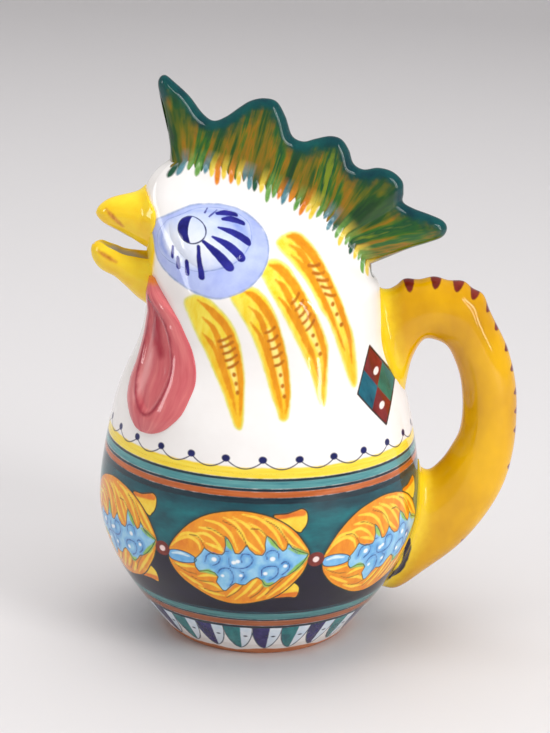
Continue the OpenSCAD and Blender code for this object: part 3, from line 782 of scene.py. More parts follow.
def head_point(u, t, inset=0):
    """Point of the near side of the head in column u of the comb, at share t of the way up: a cubic curve
    that leaves the neck's ring upwards and comes into the comb's base in the comb's own direction. inset
    moves it inwards, for the hollow."""
    u, t = np.broadcast_arrays(np.asarray(u, float), np.asarray(t, float))
    q = comb_place(u)
    side = np.arccos(1 - 2*q)
    front = np.maximum(0, np.cos(side))**2
    back = np.maximum(0, -np.cos(side))**2
    flank = 1 - front - back
    r = neck_r - inset
    rise = head_rise*(1 - nape_share*back)
    top = comb_base_at(u)
    half = np.interp(u, columns, base_half)
    lean = lean_front + (lean_back - lean_front)*q*q
    inside = 1 if inset > 0 else 0
    draw = 1 - (1 - front)*neck_lean*rise/r
    p0 = np.stack([-r*np.cos(side), -r*np.sin(side), head_z + 0*side], -1)
    p1 = np.stack([p0[..., 0]*draw, p0[..., 1]*draw, head_z + rise], -1)
    p3 = np.stack([top[..., 0]*(1 - inside*2*inset/neck_r), -half*(1 - inside*crown_share),
                   top[..., 1] - inside*crown], -1)
    p2 = p3 - np.stack([brow*front + head_rise*flank*np.sin(lean), flare*head_rise*flank,
                        brow_drop*front + head_rise*flank*np.maximum(0.5, np.cos(lean)) + nape_drop*back], -1)
    t = t[..., None]
    return (1 - t)**3*p0 + 3*t*(1 - t)**2*p1 + 3*t*t*(1 - t)*p2 + t**3*p3


def both_sides(near):
    """Ring of columns from those of the near side: back along the far side, which mirrors it."""
    near = near.copy()
    near[:, [0, -1], 1] = 0
    far = near[:, -2:0:-1]*[1, -1, 1]
    return np.concatenate([near, far], axis=1)


head_rows = 84
cavity_rows = 16
rows_up = np.linspace(0, 1, head_rows + 1)[:, None]
rows_in = np.linspace(0, 1, cavity_rows + 1)[:, None]
head_near = head_point(columns[None], rows_up)
cavity_near = head_point(columns[None], rows_in, wall_t)
head_skin = np.concatenate([both_sides(head_near)[::-1], both_sides(cavity_near)])
n_col = len(columns)


def lid(ring):
    """Strip that closes the ring of a head's row from its near to its far side."""
    near = ring[:n_col]
    return np.stack([near, near*[1, -1, 1]])


brush_tips = "dbggbyoyoybbdyggobogoyygbbdgygdyggyd"
tip_start = 4.6
tip_pitch = 3.0
tip_length = 6.2
tip_names = {"y": "tip_yellow", "b": "tip_blue", "g": "tip_green", "o": "tip_orange", "d": "tip_dark"}
base_run = np.concatenate([[0], np.cumsum(np.linalg.norm(np.diff(comb_base_at(columns), axis=0), axis=1))])


def tip_fields(along, up):
    """Distances of the tips of the brush strokes that run from the comb down onto the head, from the place
    along the comb's base and the height over it, and their strength, which fades upwards on the comb."""
    p = np.stack([along, up], -1)
    tips = {name: [np.full(along.shape, far_off)] for name in tip_names.values()}
    for k, tone in enumerate(brush_tips):
        start = tip_start + tip_pitch*k + 0.5*np.sin(5.1*k)
        end = -tip_length - 1.7*np.sin(2.3*k + 0.6) - 1.1*np.sin(0.9*k + 2)
        path = [(start + 1, 12), (start + 0.5, 5), (start, end + 2.6), (start - 0.3, end)]
        tips[tip_names[tone]].append(stroke(p, path, [1.3, 1.4, 1.2, 0.35]))
    fields = {name: least(field) for name, field in tips.items()}
    fields["tip_share"] = np.clip(1 - (up + 3)/9, 0, 1)
    jag = 1.5*np.sin(2*np.pi*along/tip_pitch + 1.2*np.sin(0.5*along)) + 0.8*np.sin(1.3*along)
    fields["comb_body"] = np.clip(np.maximum(-up - 2.4 - jag, 2.2 - along), -far_off, far_off)
    fields["comb_along"], fields["comb_up"] = along, up
    return fields


def skin_fields(skin, near_along, near_up, eye_spots):
    """Fields on all the points of the head: its outer skin, the same values on both sides, the hollow, and
    the two strips that close it."""

    def both(grid):
        """Values on the outer skin from those on its near side."""
        return np.concatenate([grid, grid[:, -2:0:-1]], axis=1)[::-1]

    outer = {**side_fields(skin[:head_rows + 1]), **tip_fields(both(near_along), both(near_up)),
             **eye_fields(both(eye_spots))}
    fields = {}
    for name, values in outer.items():
        ends = values[:1, :n_col]
        hollow_part = np.full((cavity_rows + 1)*skin.shape[1] + 2*n_col, far_off)
        fields[name] = np.concatenate([values.ravel(), hollow_part[:-2*n_col], ends.ravel(), ends.ravel(),
                                       hollow_part[-2*n_col:]])
    return fields


eye_place = 10.3
eye_up_share = 0.5
eye_seat = head_point(eye_place, eye_up_share)
eye_per_place = np.linalg.norm(head_point(eye_place + 0.1, eye_up_share) - eye_seat)/0.1
eye_per_up = np.linalg.norm(head_point(eye_place, eye_up_share + 0.1) - eye_seat)/0.1
eye_dome = [
    (-38, -9), (-36, -14), (-29, -17), (-16, -19.5), (-8, -20), (-2.5, -18.5), (3.5, -16), (9.5, -12.5),
    (15, -6), (18.5, 2), (18.5, 8), (17.5, 12), (13.5, 14.5), (9.5, 15.5), (2.5, 15), (-3.5, 13.5),
    (-9.5, 11), (-16.5, 7.5), (-26.5, 2.5), (-35, -3)]
lashes = [
    ([(-2.2, 13.3), (-3.4, 9.8)], [0.3, 0.4]),
    ([(2.1, 13.2), (-1.4, 8)], [0.25, 0.4]),
    ([(2.2, 10.9), (6, 12.6), (10.8, 13.6)], [1, 1.8, 1.5]),
    ([(4.6, 8.2), (9, 9.6), (14.1, 9.7)], [0.9, 2, 1.6]),
    ([(2.5, 2.9), (9.1, 2), (16, 0.2)], [0.6, 1.9, 2.3]),
    ([(-0.1, -2.5), (6.6, -5.2), (12.4, -8.8)], [0.7, 2.1, 2.6]),
    ([(-4.1, -5.6), (1.4, -10.1), (6.6, -14.8)], [0.9, 2.1, 2.5]),
    ([(-6.6, -8.4), (-6.9, -15.1), (-6.5, -22.3)], [0.9, 1.3, 1.7]),
    ([(-14.5, -16), (-14.5, -21.9)], [1.1, 1.4]),
    ([(-19.5, -15), (-19.5, -19.7)], [1, 1.2]),
    ([(-21.8, -9.8), (-22.7, -15.2)], [0.8, 0.9])]
iris = (-10.4, -0.3)


def eye_fields(p):
    """Distances of what is painted on and round the eye, at points p in mm along and up the side of the head
    from the eye's middle: among them a painted highlight on the dome's lower front and painted shade over
    the rest of the dome."""
    dome = area(p, eye_dome)
    return {
        # A painted highlight on the dome's lower front, and painted shade over the rest of the dome away from
        # it.
        "eye_dome": dome, "eye_painted_highlight": blob(p, (-17, -8), [19, 9]),
        "eye_shade": np.maximum(dome + 1, -blob(p, (-8, -5), [22, 15])),
        "iris": blob(p, iris, [7.4, 7]),
        "pupil": np.maximum(blob(p, iris, [7.4, 7]), -blob(p, (-5, -1.5), [7.2, 10])),
        "lash": least(stroke(p, path, half) for path, half in lashes)}


column_step = np.linalg.norm(np.diff(head_near, axis=0), axis=2)
head_down = -np.concatenate([np.cumsum(column_step[::-1], axis=0)[::-1], 0*column_step[:1]])
eye_spots = np.stack([(columns - eye_place)*eye_per_place + 0*rows_up,
                      (rows_up - eye_up_share)*eye_per_up + 0*columns], -1)
head_fields = skin_fields(head_skin, base_run[None] + 0*head_down, head_down, eye_spots)
head = solid("head_shell", [(head_skin, True), (lid(head_skin[0]), False), (lid(head_skin[-1]), False)],
             "head", head_fields)

throat_root = 34
throat_reach = 76.5
throat_z = 176
throat_half_h = 8
throat_half_w = 6.5
throat_wide = 1.12
throat_out = 62
ring_turn = (np.arange(48) + 0.5)*2*np.pi/48
cutter_x = np.array([-throat_root, -throat_out])[:, None]
throat = np.stack([cutter_x + 0*ring_turn, throat_wide*throat_half_w*np.cos(ring_turn) + 0*cutter_x,
                   throat_z + throat_half_h*np.sin(ring_turn) + 0*cutter_x], -1)
cutter_mesh = bpy.data.meshes.new("throat_cutter")
n_ring = len(ring_turn)
cutter_mesh.from_pydata((throat.reshape(-1, 3)*MM).tolist(), [], [
    [i, (i + 1) % n_ring, n_ring + (i + 1) % n_ring, n_ring + i] for i in range(n_ring)]
    + [list(range(n_ring - 1, -1, -1)), list(range(n_ring, 2*n_ring))])
cutter = bpy.data.objects.new("throat_cutter", cutter_mesh)
bpy.context.scene.collection.objects.link(cutter)
cut = head.modifiers.new("throat", "BOOLEAN")
cut.object = cutter
cut.operation = "DIFFERENCE"
cut.solver = "EXACT"
bpy.context.view_layer.update()
cut_head = bpy.data.meshes.new_from_object(head.evaluated_get(bpy.context.evaluated_depsgraph_get()))
head.modifiers.clear()
head.data = cut_head
bpy.data.objects.remove(cutter)


fine = (300, 300, 300)


def comb_paint(tree):
    """Olive, ochre and green brushed along the comb, from the place along its base and the height over it."""
    along, up = [field_value(tree, name) for name in ("comb_along", "comb_up")]
    place = add(tree, "CombineXYZ", {0: along, 1: up}).outputs[0]
    ramp = add(tree, "ValToRGB", {0: marks(tree, (0.12, 0.013, 1), 3.6, place)})
    tones = [(0, "0a3320"), (0.18, "1c4a1c"), (0.34, "646412"), (0.46, "8a6c12"), (0.54, "9e6a10"),
             (0.62, "75700f"), (0.74, "2e6420"), (0.88, "0f4a2a"), (1, "7c8c20")]
    while len(ramp.color_ramp.elements) < len(tones):
        ramp.color_ramp.elements.new(0.5)
    for stop, (at_share, tone) in zip(ramp.color_ramp.elements, tones):
        stop.position, stop.color = at_share, colour(tone)
    fine_marks = marks(tree, (0.3, 0.03, 1), 2.8, place)
    return blend(tree, math(tree, "MULTIPLY", fine_marks, 0.4), ramp.outputs[0], colour("3a5a16"))


tip_coats = [
    (field, thin, thick, 0.5, 0.6, fine, "tip_share") for field, thin, thick in [
        ("tip_yellow", "f3dc62", "e6bf2c"), ("tip_green", "84b25c", "4c8a3c"),
        ("tip_orange", "ee9630", "d2701a"), ("tip_blue", "6b9ca6", "3a7080"),
        ("tip_dark", "2c5e44", "10402c")]]
comb_material = glazed("brushed glaze of the comb", (comb_paint, None, None), [
    *tip_coats, ("comb_deep", "1b5230", "0b3826", 4, 8, (90, 90, 90)),
    ("comb_rim", "0b5450", "032f3a", 1.9, 3.6, (90, 90, 90))], 0.05)
eye_coats = [
    ("eye_patch", "c5d1f7", "a2afeb", 0.5, 0.7, (90, 90, 90)),
    (("eye_patch", 0.3), "9fb0d6", "8a9cc8", 0.5, 0.8, (90, 90, 90)),
    ("eye_dome", "dfe7fc", "b9c8f4", 1.5, 1.5, (120, 120, 120)),
    # Painted highlight on the dome's lower front, then painted shade over the rest of the dome.
    ("eye_painted_highlight", "f6f9ff", "e2eafc", 4.5, 2, (90, 90, 90)),
    ("eye_shade", "a9b9f0", "8498e0", 4, 3, (140, 140, 140)),
    # A darker line along the dome's crease: painted shade in the crease.
    (("eye_dome", 0.12), "8d9fd4", "7488c0", 0.45, 0.8, (250, 250, 250)),
    (("iris", 0.3), "3c4468", "252a4e", 0.3, 0.4, (250, 250, 250)),
    ("pupil", "26278a", "151560", 0.3, 0.8, (250, 250, 250)),
    ("lash", "30309a", "15156c", 0.35, 0.5, (160, 160, 160))]
white_head = glazed("white glaze of the head", white_ground, [
    *side_coats, *eye_coats, ("comb_body", comb_paint, None, 0.5, 0.8, fine), *tip_coats])
head.data.materials.clear()
head.data.materials.append(white_head)


# Comb
# A slab with lobes, modelled on the ridge of the head and brushed with green, ochre and orange strokes that
# run a little way down onto the head, under a dark teal edge.
comb_rows = 44
rim_columns = slice(28, 318)
rows_comb = 1 - (1 - np.linspace(0, 1, comb_rows + 1)[:, None])**1.6
comb_base = comb_base_at(columns)
comb_up = outline - comb_base
comb_len = np.linalg.norm(comb_up, axis=1)
comb_flat = comb_base[None] + rows_comb[..., None]*comb_up[None]
comb_y = comb_half(comb_flat, (1 - rows_comb)*swell(comb_len)[None])
comb_y[-1] = 0
comb_near = np.stack([comb_flat[..., 0], -comb_y, comb_flat[..., 1]], -1)
comb_up_mm = rows_comb*comb_len[None]
comb_fields = tip_fields(base_run[None] + 0*comb_up_mm, comb_up_mm)
rim_share = np.clip(comb_len/swell_run, 0.25, 1)
rim_gap = edge_gap(comb_flat, outline[rim_columns])
for name, least_wide, gain in (("comb_rim", 0.4, 3.2), ("comb_deep", 1, 5)):
    comb_fields[name] = np.clip(rim_gap - least_wide - gain*rim_share, -far_off, far_off)
comb_fields = {name: np.concatenate([values.ravel(), values.ravel(), values[:1].ravel(), values[:1].ravel()])
               for name, values in comb_fields.items()}
comb = solid("comb_crest", [(comb_near, False), (comb_near*[1, -1, 1], False), (lid(comb_near[0]), False)],
             "comb", comb_fields)
comb.data.materials.append(comb_material)


# Upper beak
# Pinched onto the front of the head, with its root drawn out so that it flows into the head.
beak_root = 44
beak_start = 48.5
beak_reach = 77.8
beak_z = 197
beak_tall = 28
beak_half_w = 15
beak_swell = 2.2
beak_run = 4
beak_turns = 96
beak_steps = 56
beak_shares = np.array([
    [0, 0.357, -0.607, 1.13], [0.237, 0.393, -0.589, 1], [0.385, 0.386, -0.518, 0.83],
    [0.541, 0.332, -0.393, 0.69], [0.675, 0.293, -0.304, 0.575], [0.811, 0.239, -0.225, 0.455],
    [0.905, 0.168, -0.154, 0.335], [0.97, 0.086, -0.075, 0.19], [1, 0, -0.01, 0.02]])
throat_shares = np.array([
    [0, 1, -1, 1], [0.28, 1, -1, 1], [0.45, 1, -1, 1], [0.61, 1.19, -0.75, 0.85], [0.75, 1.375, -0.375, 0.75],
    [0.89, 1.6, 0.19, 0.58], [1, 1.6, 0.81, 0.2]])
front_cols = 141
front = head_near[1:-1:2, 1:front_cols:2]
front_out = np.cross(head_near[2::2, 1:front_cols:2] - head_near[:-2:2, 1:front_cols:2],
                     head_near[1:-1:2, 2:front_cols:2] - head_near[1:-1:2, 0:front_cols - 1:2])
front_out *= np.sign(-front_out[..., 1:2])/np.maximum(np.linalg.norm(front_out, axis=-1, keepdims=True), 1e-9)


def away_from_head(points):
    """Distance of points from the nearest spot of the head's front, negative inside it. Both sides match, so
    the near one serves for both."""
    flat = (points*[1, 0, 1] - np.abs(points)*[0, 1, 0]).reshape(-1, 3)
    skin, out_dir = front.reshape(-1, 3), front_out.reshape(-1, 3)
    gap = np.empty(len(flat))
    at_once = 512
    for k in range(0, len(flat), at_once):
        part = flat[k:k + at_once]
        square = (part**2).sum(1)[:, None] + (skin**2).sum(1)[None] - 2*part @ skin.T
        at_skin = square.argmin(1)
        gap[k:k + at_once] = ((part - skin[at_skin])*out_dir[at_skin]).sum(1)
    return gap.reshape(points.shape[:-1])


def capped(grid):
    """Grid of rings with one more row at each end, drawn together in the end's middle, which closes it."""
    first, last = [row.mean(axis=0) + 0*row for row in (grid[0], grid[-1])]
    return np.concatenate([first[None], grid, last[None]])


def with_ends(values):
    """Values on a capped grid, from those on its rings."""
    return np.concatenate([values[:1], values, values[-1:]])


def beak_rows(shares, reach):
    """Rows of a beak from its start in the head's wall to its tip, drawn together at the tip."""
    places = np.linspace(0, len(shares) - 1, 400)
    x = -beak_root - at(shares, places)[:, 0]*(reach - beak_root)
    share = 1 - (1 - np.linspace(0, 1, beak_steps + 1))**1.7
    want = -beak_start - share*(reach - beak_start)
    return np.interp(-want, -x, places)


def beak_grid(shares, reach, z, tall, half_w, groove):
    """Grid of a beak: ovals square to its length, with a groove along the side that faces the other beak, and
    a root that swells where it comes out of the head. groove is +1 on top and -1 underneath."""
    row = at(shares, beak_rows(shares, reach))[:, None]
    x = -beak_root - row[..., 0]*(reach - beak_root)
    mid = z + tall*(row[..., 1] + row[..., 2])/2
    half = tall*(row[..., 1] - row[..., 2])/2
    turn = np.arange(beak_turns)*2*np.pi/beak_turns
    y = half_w*row[..., 3]*np.cos(turn)
    up = half*np.sin(turn)
    throat_x = throat_root + throat_shares[:, 0]*(throat_reach - throat_root)
    throat_row = at(throat_shares, np.interp(-x[:, 0], throat_x, np.arange(len(throat_shares))))[:, None]
    channel = throat_half_w*throat_row[..., 3]
    floor = throat_z + throat_half_h*throat_row[..., 2 if groove > 0 else 1]
    depth = np.maximum(groove*(mid + groove*half - floor), 0)*(np.sin(turn)*groove > 0)
    bell = np.clip((1.25 - np.abs(y)/np.maximum(channel, 0.5))/0.75, 0, 1)
    z_all = mid + up - groove*depth*bell*bell*(3 - 2*bell)
    grid = np.stack([x + 0*turn, y, z_all], -1)
    gap = away_from_head(grid)
    root = np.where(gap > 0, beak_swell*np.clip(1 - gap/beak_run, 0, 1)**2,
                    np.clip(beak_swell + 4*gap, 0, None))
    root = root*np.clip(0.35 - np.sin(turn)*groove, 0, 0.5)*2
    grid[..., 1] += root*np.cos(turn)
    grid[..., 2] += root*np.sin(turn)
    return capped(grid)


def beak_fields(grid, groove, nostril):
    """Distances of a beak's nostril stroke, from x and z, and of the white glaze along its groove."""
    p = grid[..., [0, 2]]
    turn = np.arange(beak_turns)*2*np.pi/beak_turns
    facing = np.sin(turn)*groove
    side = np.abs(grid[..., 1])
    inner_w = throat_half_w*np.interp(-grid[..., 0], [44, 62, 70, 77], [1.0, 0.85, 0.68, 0.1])
    return {"nostril": stroke(p, nostril, [0.4, 1, 0.8, 0.5]),
            "groove": np.where(facing > 0.15, side - inner_w, far_off)}


upper_grid = beak_grid(beak_shares, beak_reach, beak_z, beak_tall, beak_half_w, -1)
beak_material = glazed("yellow glaze of the beak", ("ffe436", "fbc61a", (60, 60, 90)), [
    ("nostril", "eea63e", "b8671c", 0.9, 0.6, (400, 400, 400)),
    ("groove", "e9e4dc", "c9c3b8", 0.6, 0.5, (100, 100, 100))], 0.06)
upper_beak = solid("beak_upper", [(upper_grid, True)], "upper_beak",
                   beak_fields(upper_grid, -1, [(-72.5, 199.8), (-70, 197.3), (-67, 194.6), (-64.8, 192.8)]))
upper_beak.data.materials.append(beak_material)


# Lower beak
# A trough, open on top, that leads the drink out of the throat.
lip_reach = 80
lip_z = 181
lip_tall = 24
lip_half_w = 14
lip_shares = np.array([
    [0, 0, -0.958, 1.14], [0.222, -0.02, -1.04, 1], [0.361, -0.02, -1, 0.86], [0.567, 0.017, -0.725, 0.66],
    [0.694, 0.083, -0.567, 0.57], [0.844, 0.138, -0.458, 0.45], [0.925, 0.11, -0.35, 0.33],
    [0.981, 0.05, -0.21, 0.16], [1, -0.05, -0.07, 0.02]])
lower_grid = beak_grid(lip_shares, lip_reach, lip_z, lip_tall, lip_half_w, 1)
lower_beak = solid("beak_lower", [(lower_grid, True)], "lower_beak",
                   beak_fields(lower_grid, 1, [(-76, 180), (-73.3, 178.6), (-70.6, 177.3), (-67.8, 176)]))
lower_beak.data.materials.append(beak_material)


# Handle
# A pulled strap of clay, luted to the neck and the belly and smoothed into both, with thumb-pressed scallops
# along its top.
handle_reach = 118.8
handle_top = 170
handle_half_w = 11.5
scallop_h = 1.2
scallop_from = 1.5
scallop_to = 5.6
scallop_step = 1.02
handle_spread_share = 0.3
handle_turns = 72
handle_steps = 14
handle_fillet = 6
handle_bury = 2.5
handle_shares = np.array([
    [[0.42, 0.965], [0.5, 0.66]], [[0.48, 0.97], [0.555, 0.712]], [[0.54, 0.992], [0.583, 0.786]],
    [[0.648, 1], [0.62, 0.832]], [[0.757, 0.991], [0.67, 0.832]], [[0.834, 0.959], [0.716, 0.813]],
    [[0.897, 0.885], [0.751, 0.767]], [[0.952, 0.809], [0.773, 0.72]], [[0.988, 0.718], [0.784, 0.665]],
    [[1, 0.623], [0.786, 0.612]], [[0.995, 0.523], [0.777, 0.568]], [[0.964, 0.423], [0.753, 0.53]],
    [[0.897, 0.329], [0.72, 0.491]], [[0.8, 0.241], [0.678, 0.46]], [[0.673, 0.165], [0.64, 0.45]],
    [[0.556, 0.106], [0.606, 0.447]], [[0.47, 0.12], [0.555, 0.44]]])
handle_last = len(handle_shares) - 1
handle_places = np.linspace(0, handle_last, handle_last*handle_steps + 1)


def fillet(gap, radius):
    """How far a surface that comes out of another swells at this gap from it: a quarter circle's hollow."""
    x = np.clip(gap/radius, 0, 1)
    return radius*(1 - np.sqrt(1 - (1 - x)**2))


def handle_grid(places):
    """Grid of the handle: ovals between its outer and inner edges, with scallops on the outer one, wider at
    the lower end, and swollen where it comes out of the body."""
    edges = at(handle_shares.reshape(-1, 4), places).reshape(-1, 2, 2)*[handle_reach, handle_top]
    mid = edges.mean(axis=1)[:, None]
    out = edges[:, 0] - edges[:, 1]
    half = np.linalg.norm(out, axis=1)/2
    out = (out/(2*half[:, None]))[:, None]
    turn = np.arange(handle_turns)*2*np.pi/handle_turns
    on = (places > scallop_from) & (places < scallop_to)
    wave = scallop_h*np.sin(np.pi*(places - scallop_from)/scallop_step)**2*on
    wide = handle_half_w*(1 + handle_spread_share*(places/handle_last)**3)
    reach = half[:, None]*np.cos(turn) + wave[:, None]*np.maximum(0, np.cos(turn))**4
    side = wide[:, None]*np.sin(turn)
    spots = mid + out*reach[..., None]
    grid = np.stack([spots[..., 0], side, spots[..., 1]], -1)
    gap = np.hypot(grid[..., 0], grid[..., 1]) - body_r(grid[..., 2])
    at_end = (np.abs(places - handle_last/2) > handle_last/2 - 3)[:, None]
    root = fillet(np.maximum(gap, 0), handle_fillet)*(1 - 0.75*np.maximum(0, np.cos(turn))*at_end)
    grid[..., 0] += root*np.cos(turn)*out[..., 0]
    grid[..., 2] += root*np.cos(turn)*out[..., 1]
    grid[..., 1] += root*np.sin(turn)
    r = np.hypot(grid[..., 0], grid[..., 1])
    deep = np.maximum(body_r(grid[..., 2]) - handle_bury, 1)
    grid[..., :2] *= (np.maximum(r, deep)/np.maximum(r, 1))[..., None]
    return grid


handle_skin = handle_grid(handle_places)
handle_dashes = [
    (66, 166), (78.3, 167.3), (87, 164.7), (95.4, 165), (100.4, 157.5), (106, 148.6), (111, 139),
    (115, 129.5), (117.3, 119), (118.4, 109), (118, 99.4), (117, 81), (97.6, 43)]
navy_run = [(70.5, 50.5), (70, 45), (69, 38.5), (67.5, 34), (64.5, 30.5), (61, 27)]
ridge = at(handle_shares[:, 0], handle_places)*[handle_reach, handle_top]
ridge_run = np.concatenate([[0], np.cumsum(np.linalg.norm(np.diff(ridge, axis=0), axis=1))])
handle_turn = np.arange(handle_turns)*2*np.pi/handle_turns
round_side = ((handle_turn + np.pi) % (2*np.pi) - np.pi)*handle_half_w
on_handle = np.stack(np.broadcast_arrays(ridge_run[:, None], round_side), -1)
dash_runs = [ridge_run[np.argmin(np.hypot(ridge[:, 0] - x, ridge[:, 1] - z))] for x, z in handle_dashes]
dash_halves = 4*[[2.5, 8]] + (len(dash_runs) - 4)*[[1.9, 6]]
handle_fields = {
    "dash": least(blob(on_handle, (run, 0), half) for run, half in zip(dash_runs, dash_halves)),
    "root": np.hypot(handle_skin[..., 0], handle_skin[..., 1]) - body_r(handle_skin[..., 2]) - 6,
    "navy_run": np.maximum(stroke(handle_skin[..., [0, 2]], navy_run, [0.4, 2, 1.6, 2.2, 0.5]),
                           handle_skin[..., 1])}
handle_fields = {name: with_ends(values) for name, values in handle_fields.items()}
handle = solid("handle_loop", [(capped(handle_skin), True)], "handle", handle_fields)
handle.data.materials.append(glazed("amber glaze of the handle", ("f5bc05", "c48801", (24, 24, 16)), [
    ("root", "fad92c", "eabf14", 5, 4, (60, 60, 60)),
    ("navy_run", "2a2438", "14101f", 0.5, 1.2, even),
    ("dash", "8a2c1c", "601810", 0.4, 0.5, even)]))


# Eyes
# Low domes pressed onto the sides of the head, each with a thin border that is smoothed into it.
eye_half_l = 24
eye_half_h = 20
eye_proud = 3
eye_apron = 0.8
eye_run = 11
eye_sink = 0.25
eye_crease = 0.16
crease_half = 0.7
eye_under = 1.5
eye_rings = 60
eye_sides = 240


def head_frame(u, t):
    """Outward direction of the near side of the head at column u and share t."""
    e = 0.02
    here = head_point(u, t)
    out = np.cross(head_point(u + e, t) - here, head_point(u, t + e) - here)
    return out/np.linalg.norm(out, axis=-1, keepdims=True)


def eye_rise(v, p):
    """Height of the eye over the head, at share v of the way from its middle to its border and at points p: a
    low apron that sinks smoothly into the head, and on it a dome whose side is a quarter circle's, with a
    faint crease round it."""
    deep = area(p, eye_dome)
    side = np.clip(-deep/eye_run, 0, 1)
    dome = (eye_proud - eye_apron)*np.sqrt(1 - (1 - side)**2)*(1 - v**2)**0.7
    crease = eye_crease*np.exp(-(deep/crease_half)**2)*(1 - v**4)
    return dome + eye_apron*(1 - v**2)**1.1 - eye_sink*v**8 - crease


def eye_grid(p, rise):
    """Points of the eye pad over points p of the near side of the head, that far over it."""
    u = eye_place + p[..., 0]/eye_per_place
    t = eye_up_share + p[..., 1]/eye_per_up
    return head_point(u, t) + rise[..., None]*head_frame(u, t)


eye_v = np.linspace(0, 1, eye_rings)[:, None] + 0*np.arange(eye_sides)
eye_a = np.arange(eye_sides)*2*np.pi/eye_sides
eye_flat = np.stack([eye_v*eye_half_l*np.cos(eye_a), eye_v*eye_half_h*np.sin(eye_a)], -1)
eye_top = eye_grid(eye_flat, eye_rise(eye_v, eye_flat))
eye_skin = np.concatenate([eye_top, eye_grid(eye_flat[::-1], 0*eye_v - eye_under)])
pad_fields = {**eye_fields(eye_flat), "eye_patch": side_fields(eye_top)["eye_patch"]}
pad_fields = {name: np.concatenate([values, 0*values + far_off]) for name, values in pad_fields.items()}
eye_material = glazed("white and blue glaze of the eye", white_ground, eye_coats, 0.06)
for name, node, mirror in (("eye_right", "right_eye", 1), ("eye_left", "left_eye", -1)):
    eye = solid(name, [(eye_skin*[1, mirror, 1], True)], node, pad_fields)
    eye.data.materials.append(eye_material)


# Wattles
# Flat teardrops of clay pressed onto the neck under the beak, with a raised border round a shallow dish.
wattle_z = 107.5
wattle_l = 62.5
wattle_half_w = 23
wattle_crest = 2.24
wattle_raise = 1.8
wattle_sink = 0.6
wattle_under = 2
pad_step = 0.4
wattle_turn = np.radians(40)
wattle_shares = np.array([
    [1, 0.03], [1.02, 0.25], [1.03, 0.48], [1.02, 0.69], [1, 0.89], [0.98, 0.985], [0.97, 1], [0.92, 0.94],
    [0.84, 0.8], [0.72, 0.56], [0.45, 0.1]])
wattle_last = len(wattle_shares) - 1
wattle_s = np.linspace(0, wattle_last, 181)[:, None]
wattle_v = np.linspace(-1, 1, 121)[None]
dish_ring = [
    (25, 163), (24.5, 153.6), (24, 144.2), (25.3, 136.4), (27.7, 130), (31.4, 124), (36.4, 118.6),
    (41, 116.2), (44.5, 117.6), (47, 122), (48.5, 128), (49, 134), (48.2, 139.5), (45.4, 146.5),
    (42, 152.4), (37, 157.5), (30, 162)]
dish_deep = 1.25
dish_run = 2.6
dish_swell = 0.6


def smooth(share):
    """Share from 0 to 1, eased at both ends."""
    share = np.clip(share, 0, 1)
    return share*share*(3 - 2*share)


def wattle_rise(edge, dish):
    """Height of the wattle over the wall, from the distances to its edge and to the dish's outline: highest
    at the dish's rim, from there falling in a curve to the edge, and inwards into the dish, which swells a
    little in its middle."""
    fall = np.clip(dish, 0, None)/np.maximum(np.clip(dish, 0, None) + edge, 0.01)
    pad = pad_step + wattle_crest*(1 - fall**1.6)
    return pad - dish_deep*smooth(-dish/dish_run) + dish_swell*smooth((-dish - 2)/6)


row = at(wattle_shares, wattle_s[:, 0])
z = wattle_z + wattle_l*(1 - np.cos(np.pi/2*wattle_s/wattle_last))
z = z + wattle_raise*np.clip((z - 160)/10, 0, 1)
r = body_r(z)
angle = wattle_turn*row[:, :1] + wattle_half_w*row[:, 1:]/r*wattle_v
pad_flat = np.stack([angle*neck_r, z + 0*angle], -1)
dish = area(pad_flat, np.array(dish_ring)*[np.radians(neck_r), 1])
edge = np.minimum((1 - np.abs(wattle_v))*wattle_half_w*row[:, 1:], 1.2*(z - wattle_z) + 0.3)
at_edge = np.abs(wattle_v) > 0.999
finger_lift = 2.6
finger_from = 155
finger_run = 12
rise = wattle_rise(edge, dish)*np.clip(z - wattle_z, 0.2, 1)**0.5 - wattle_sink*at_edge
rise = rise + finger_lift*smooth((z - finger_from)/finger_run)


def on_neck(r, angle, z):
    """Points at this radius, angle round from the front and height, on the near side."""
    return np.stack([-r*np.cos(angle), -r*np.sin(angle), z + 0*angle], -1)


wattle_back = on_neck(r - wattle_under + 0*rise, angle, z)
wattle_skin = np.concatenate([on_neck(r + rise, angle, z), wattle_back[:, ::-1]], axis=1)
wattle_skin = capped(wattle_skin)
wattle_fields = {
    "wattle_dish": dish, "wattle_tip": 167 - pad_flat[..., 1] + 0.12*pad_flat[..., 0],
    "wattle_spot": stroke(pad_flat, [(23, 165), (24.6, 163), (25.4, 160.5)], [0.5, 0.9, 0.4]),
    # A painted highlight: a paler pink patch low on the front side of the dish.
    "wattle_painted_highlight": blob(pad_flat, (29.5, 131), [3, 11]),
    "wattle_deep": np.maximum(stroke(pad_flat, [(27, 160), (30, 150), (36, 142)], [2, 4, 2]), dish),
    "pad_length": pad_flat[..., 1], "pad_across": wattle_v*10 + 0*wattle_s}


def pad_values(values):
    """Values on all the points of the wattle: its top, and its underside and ends like the nearest edge."""
    return with_ends(np.concatenate([values, values[:, ::-1]], axis=1))


def wattle_paint(tree):
    """Coral in long streaks, from the place along the wattle and across it."""
    length, across = [field_value(tree, name) for name in ("pad_length", "pad_across")]
    place = add(tree, "CombineXYZ", {0: length, 1: across}).outputs[0]
    broad = blend(tree, marks(tree, (0.025, 0.32, 1), 3, place), colour("e68784"), colour("c5505a"))
    fine_share = math(tree, "MULTIPLY", marks(tree, (0.08, 1.1, 1), 3, place), 0.55)
    return blend(tree, fine_share, broad, colour("d4646a"))


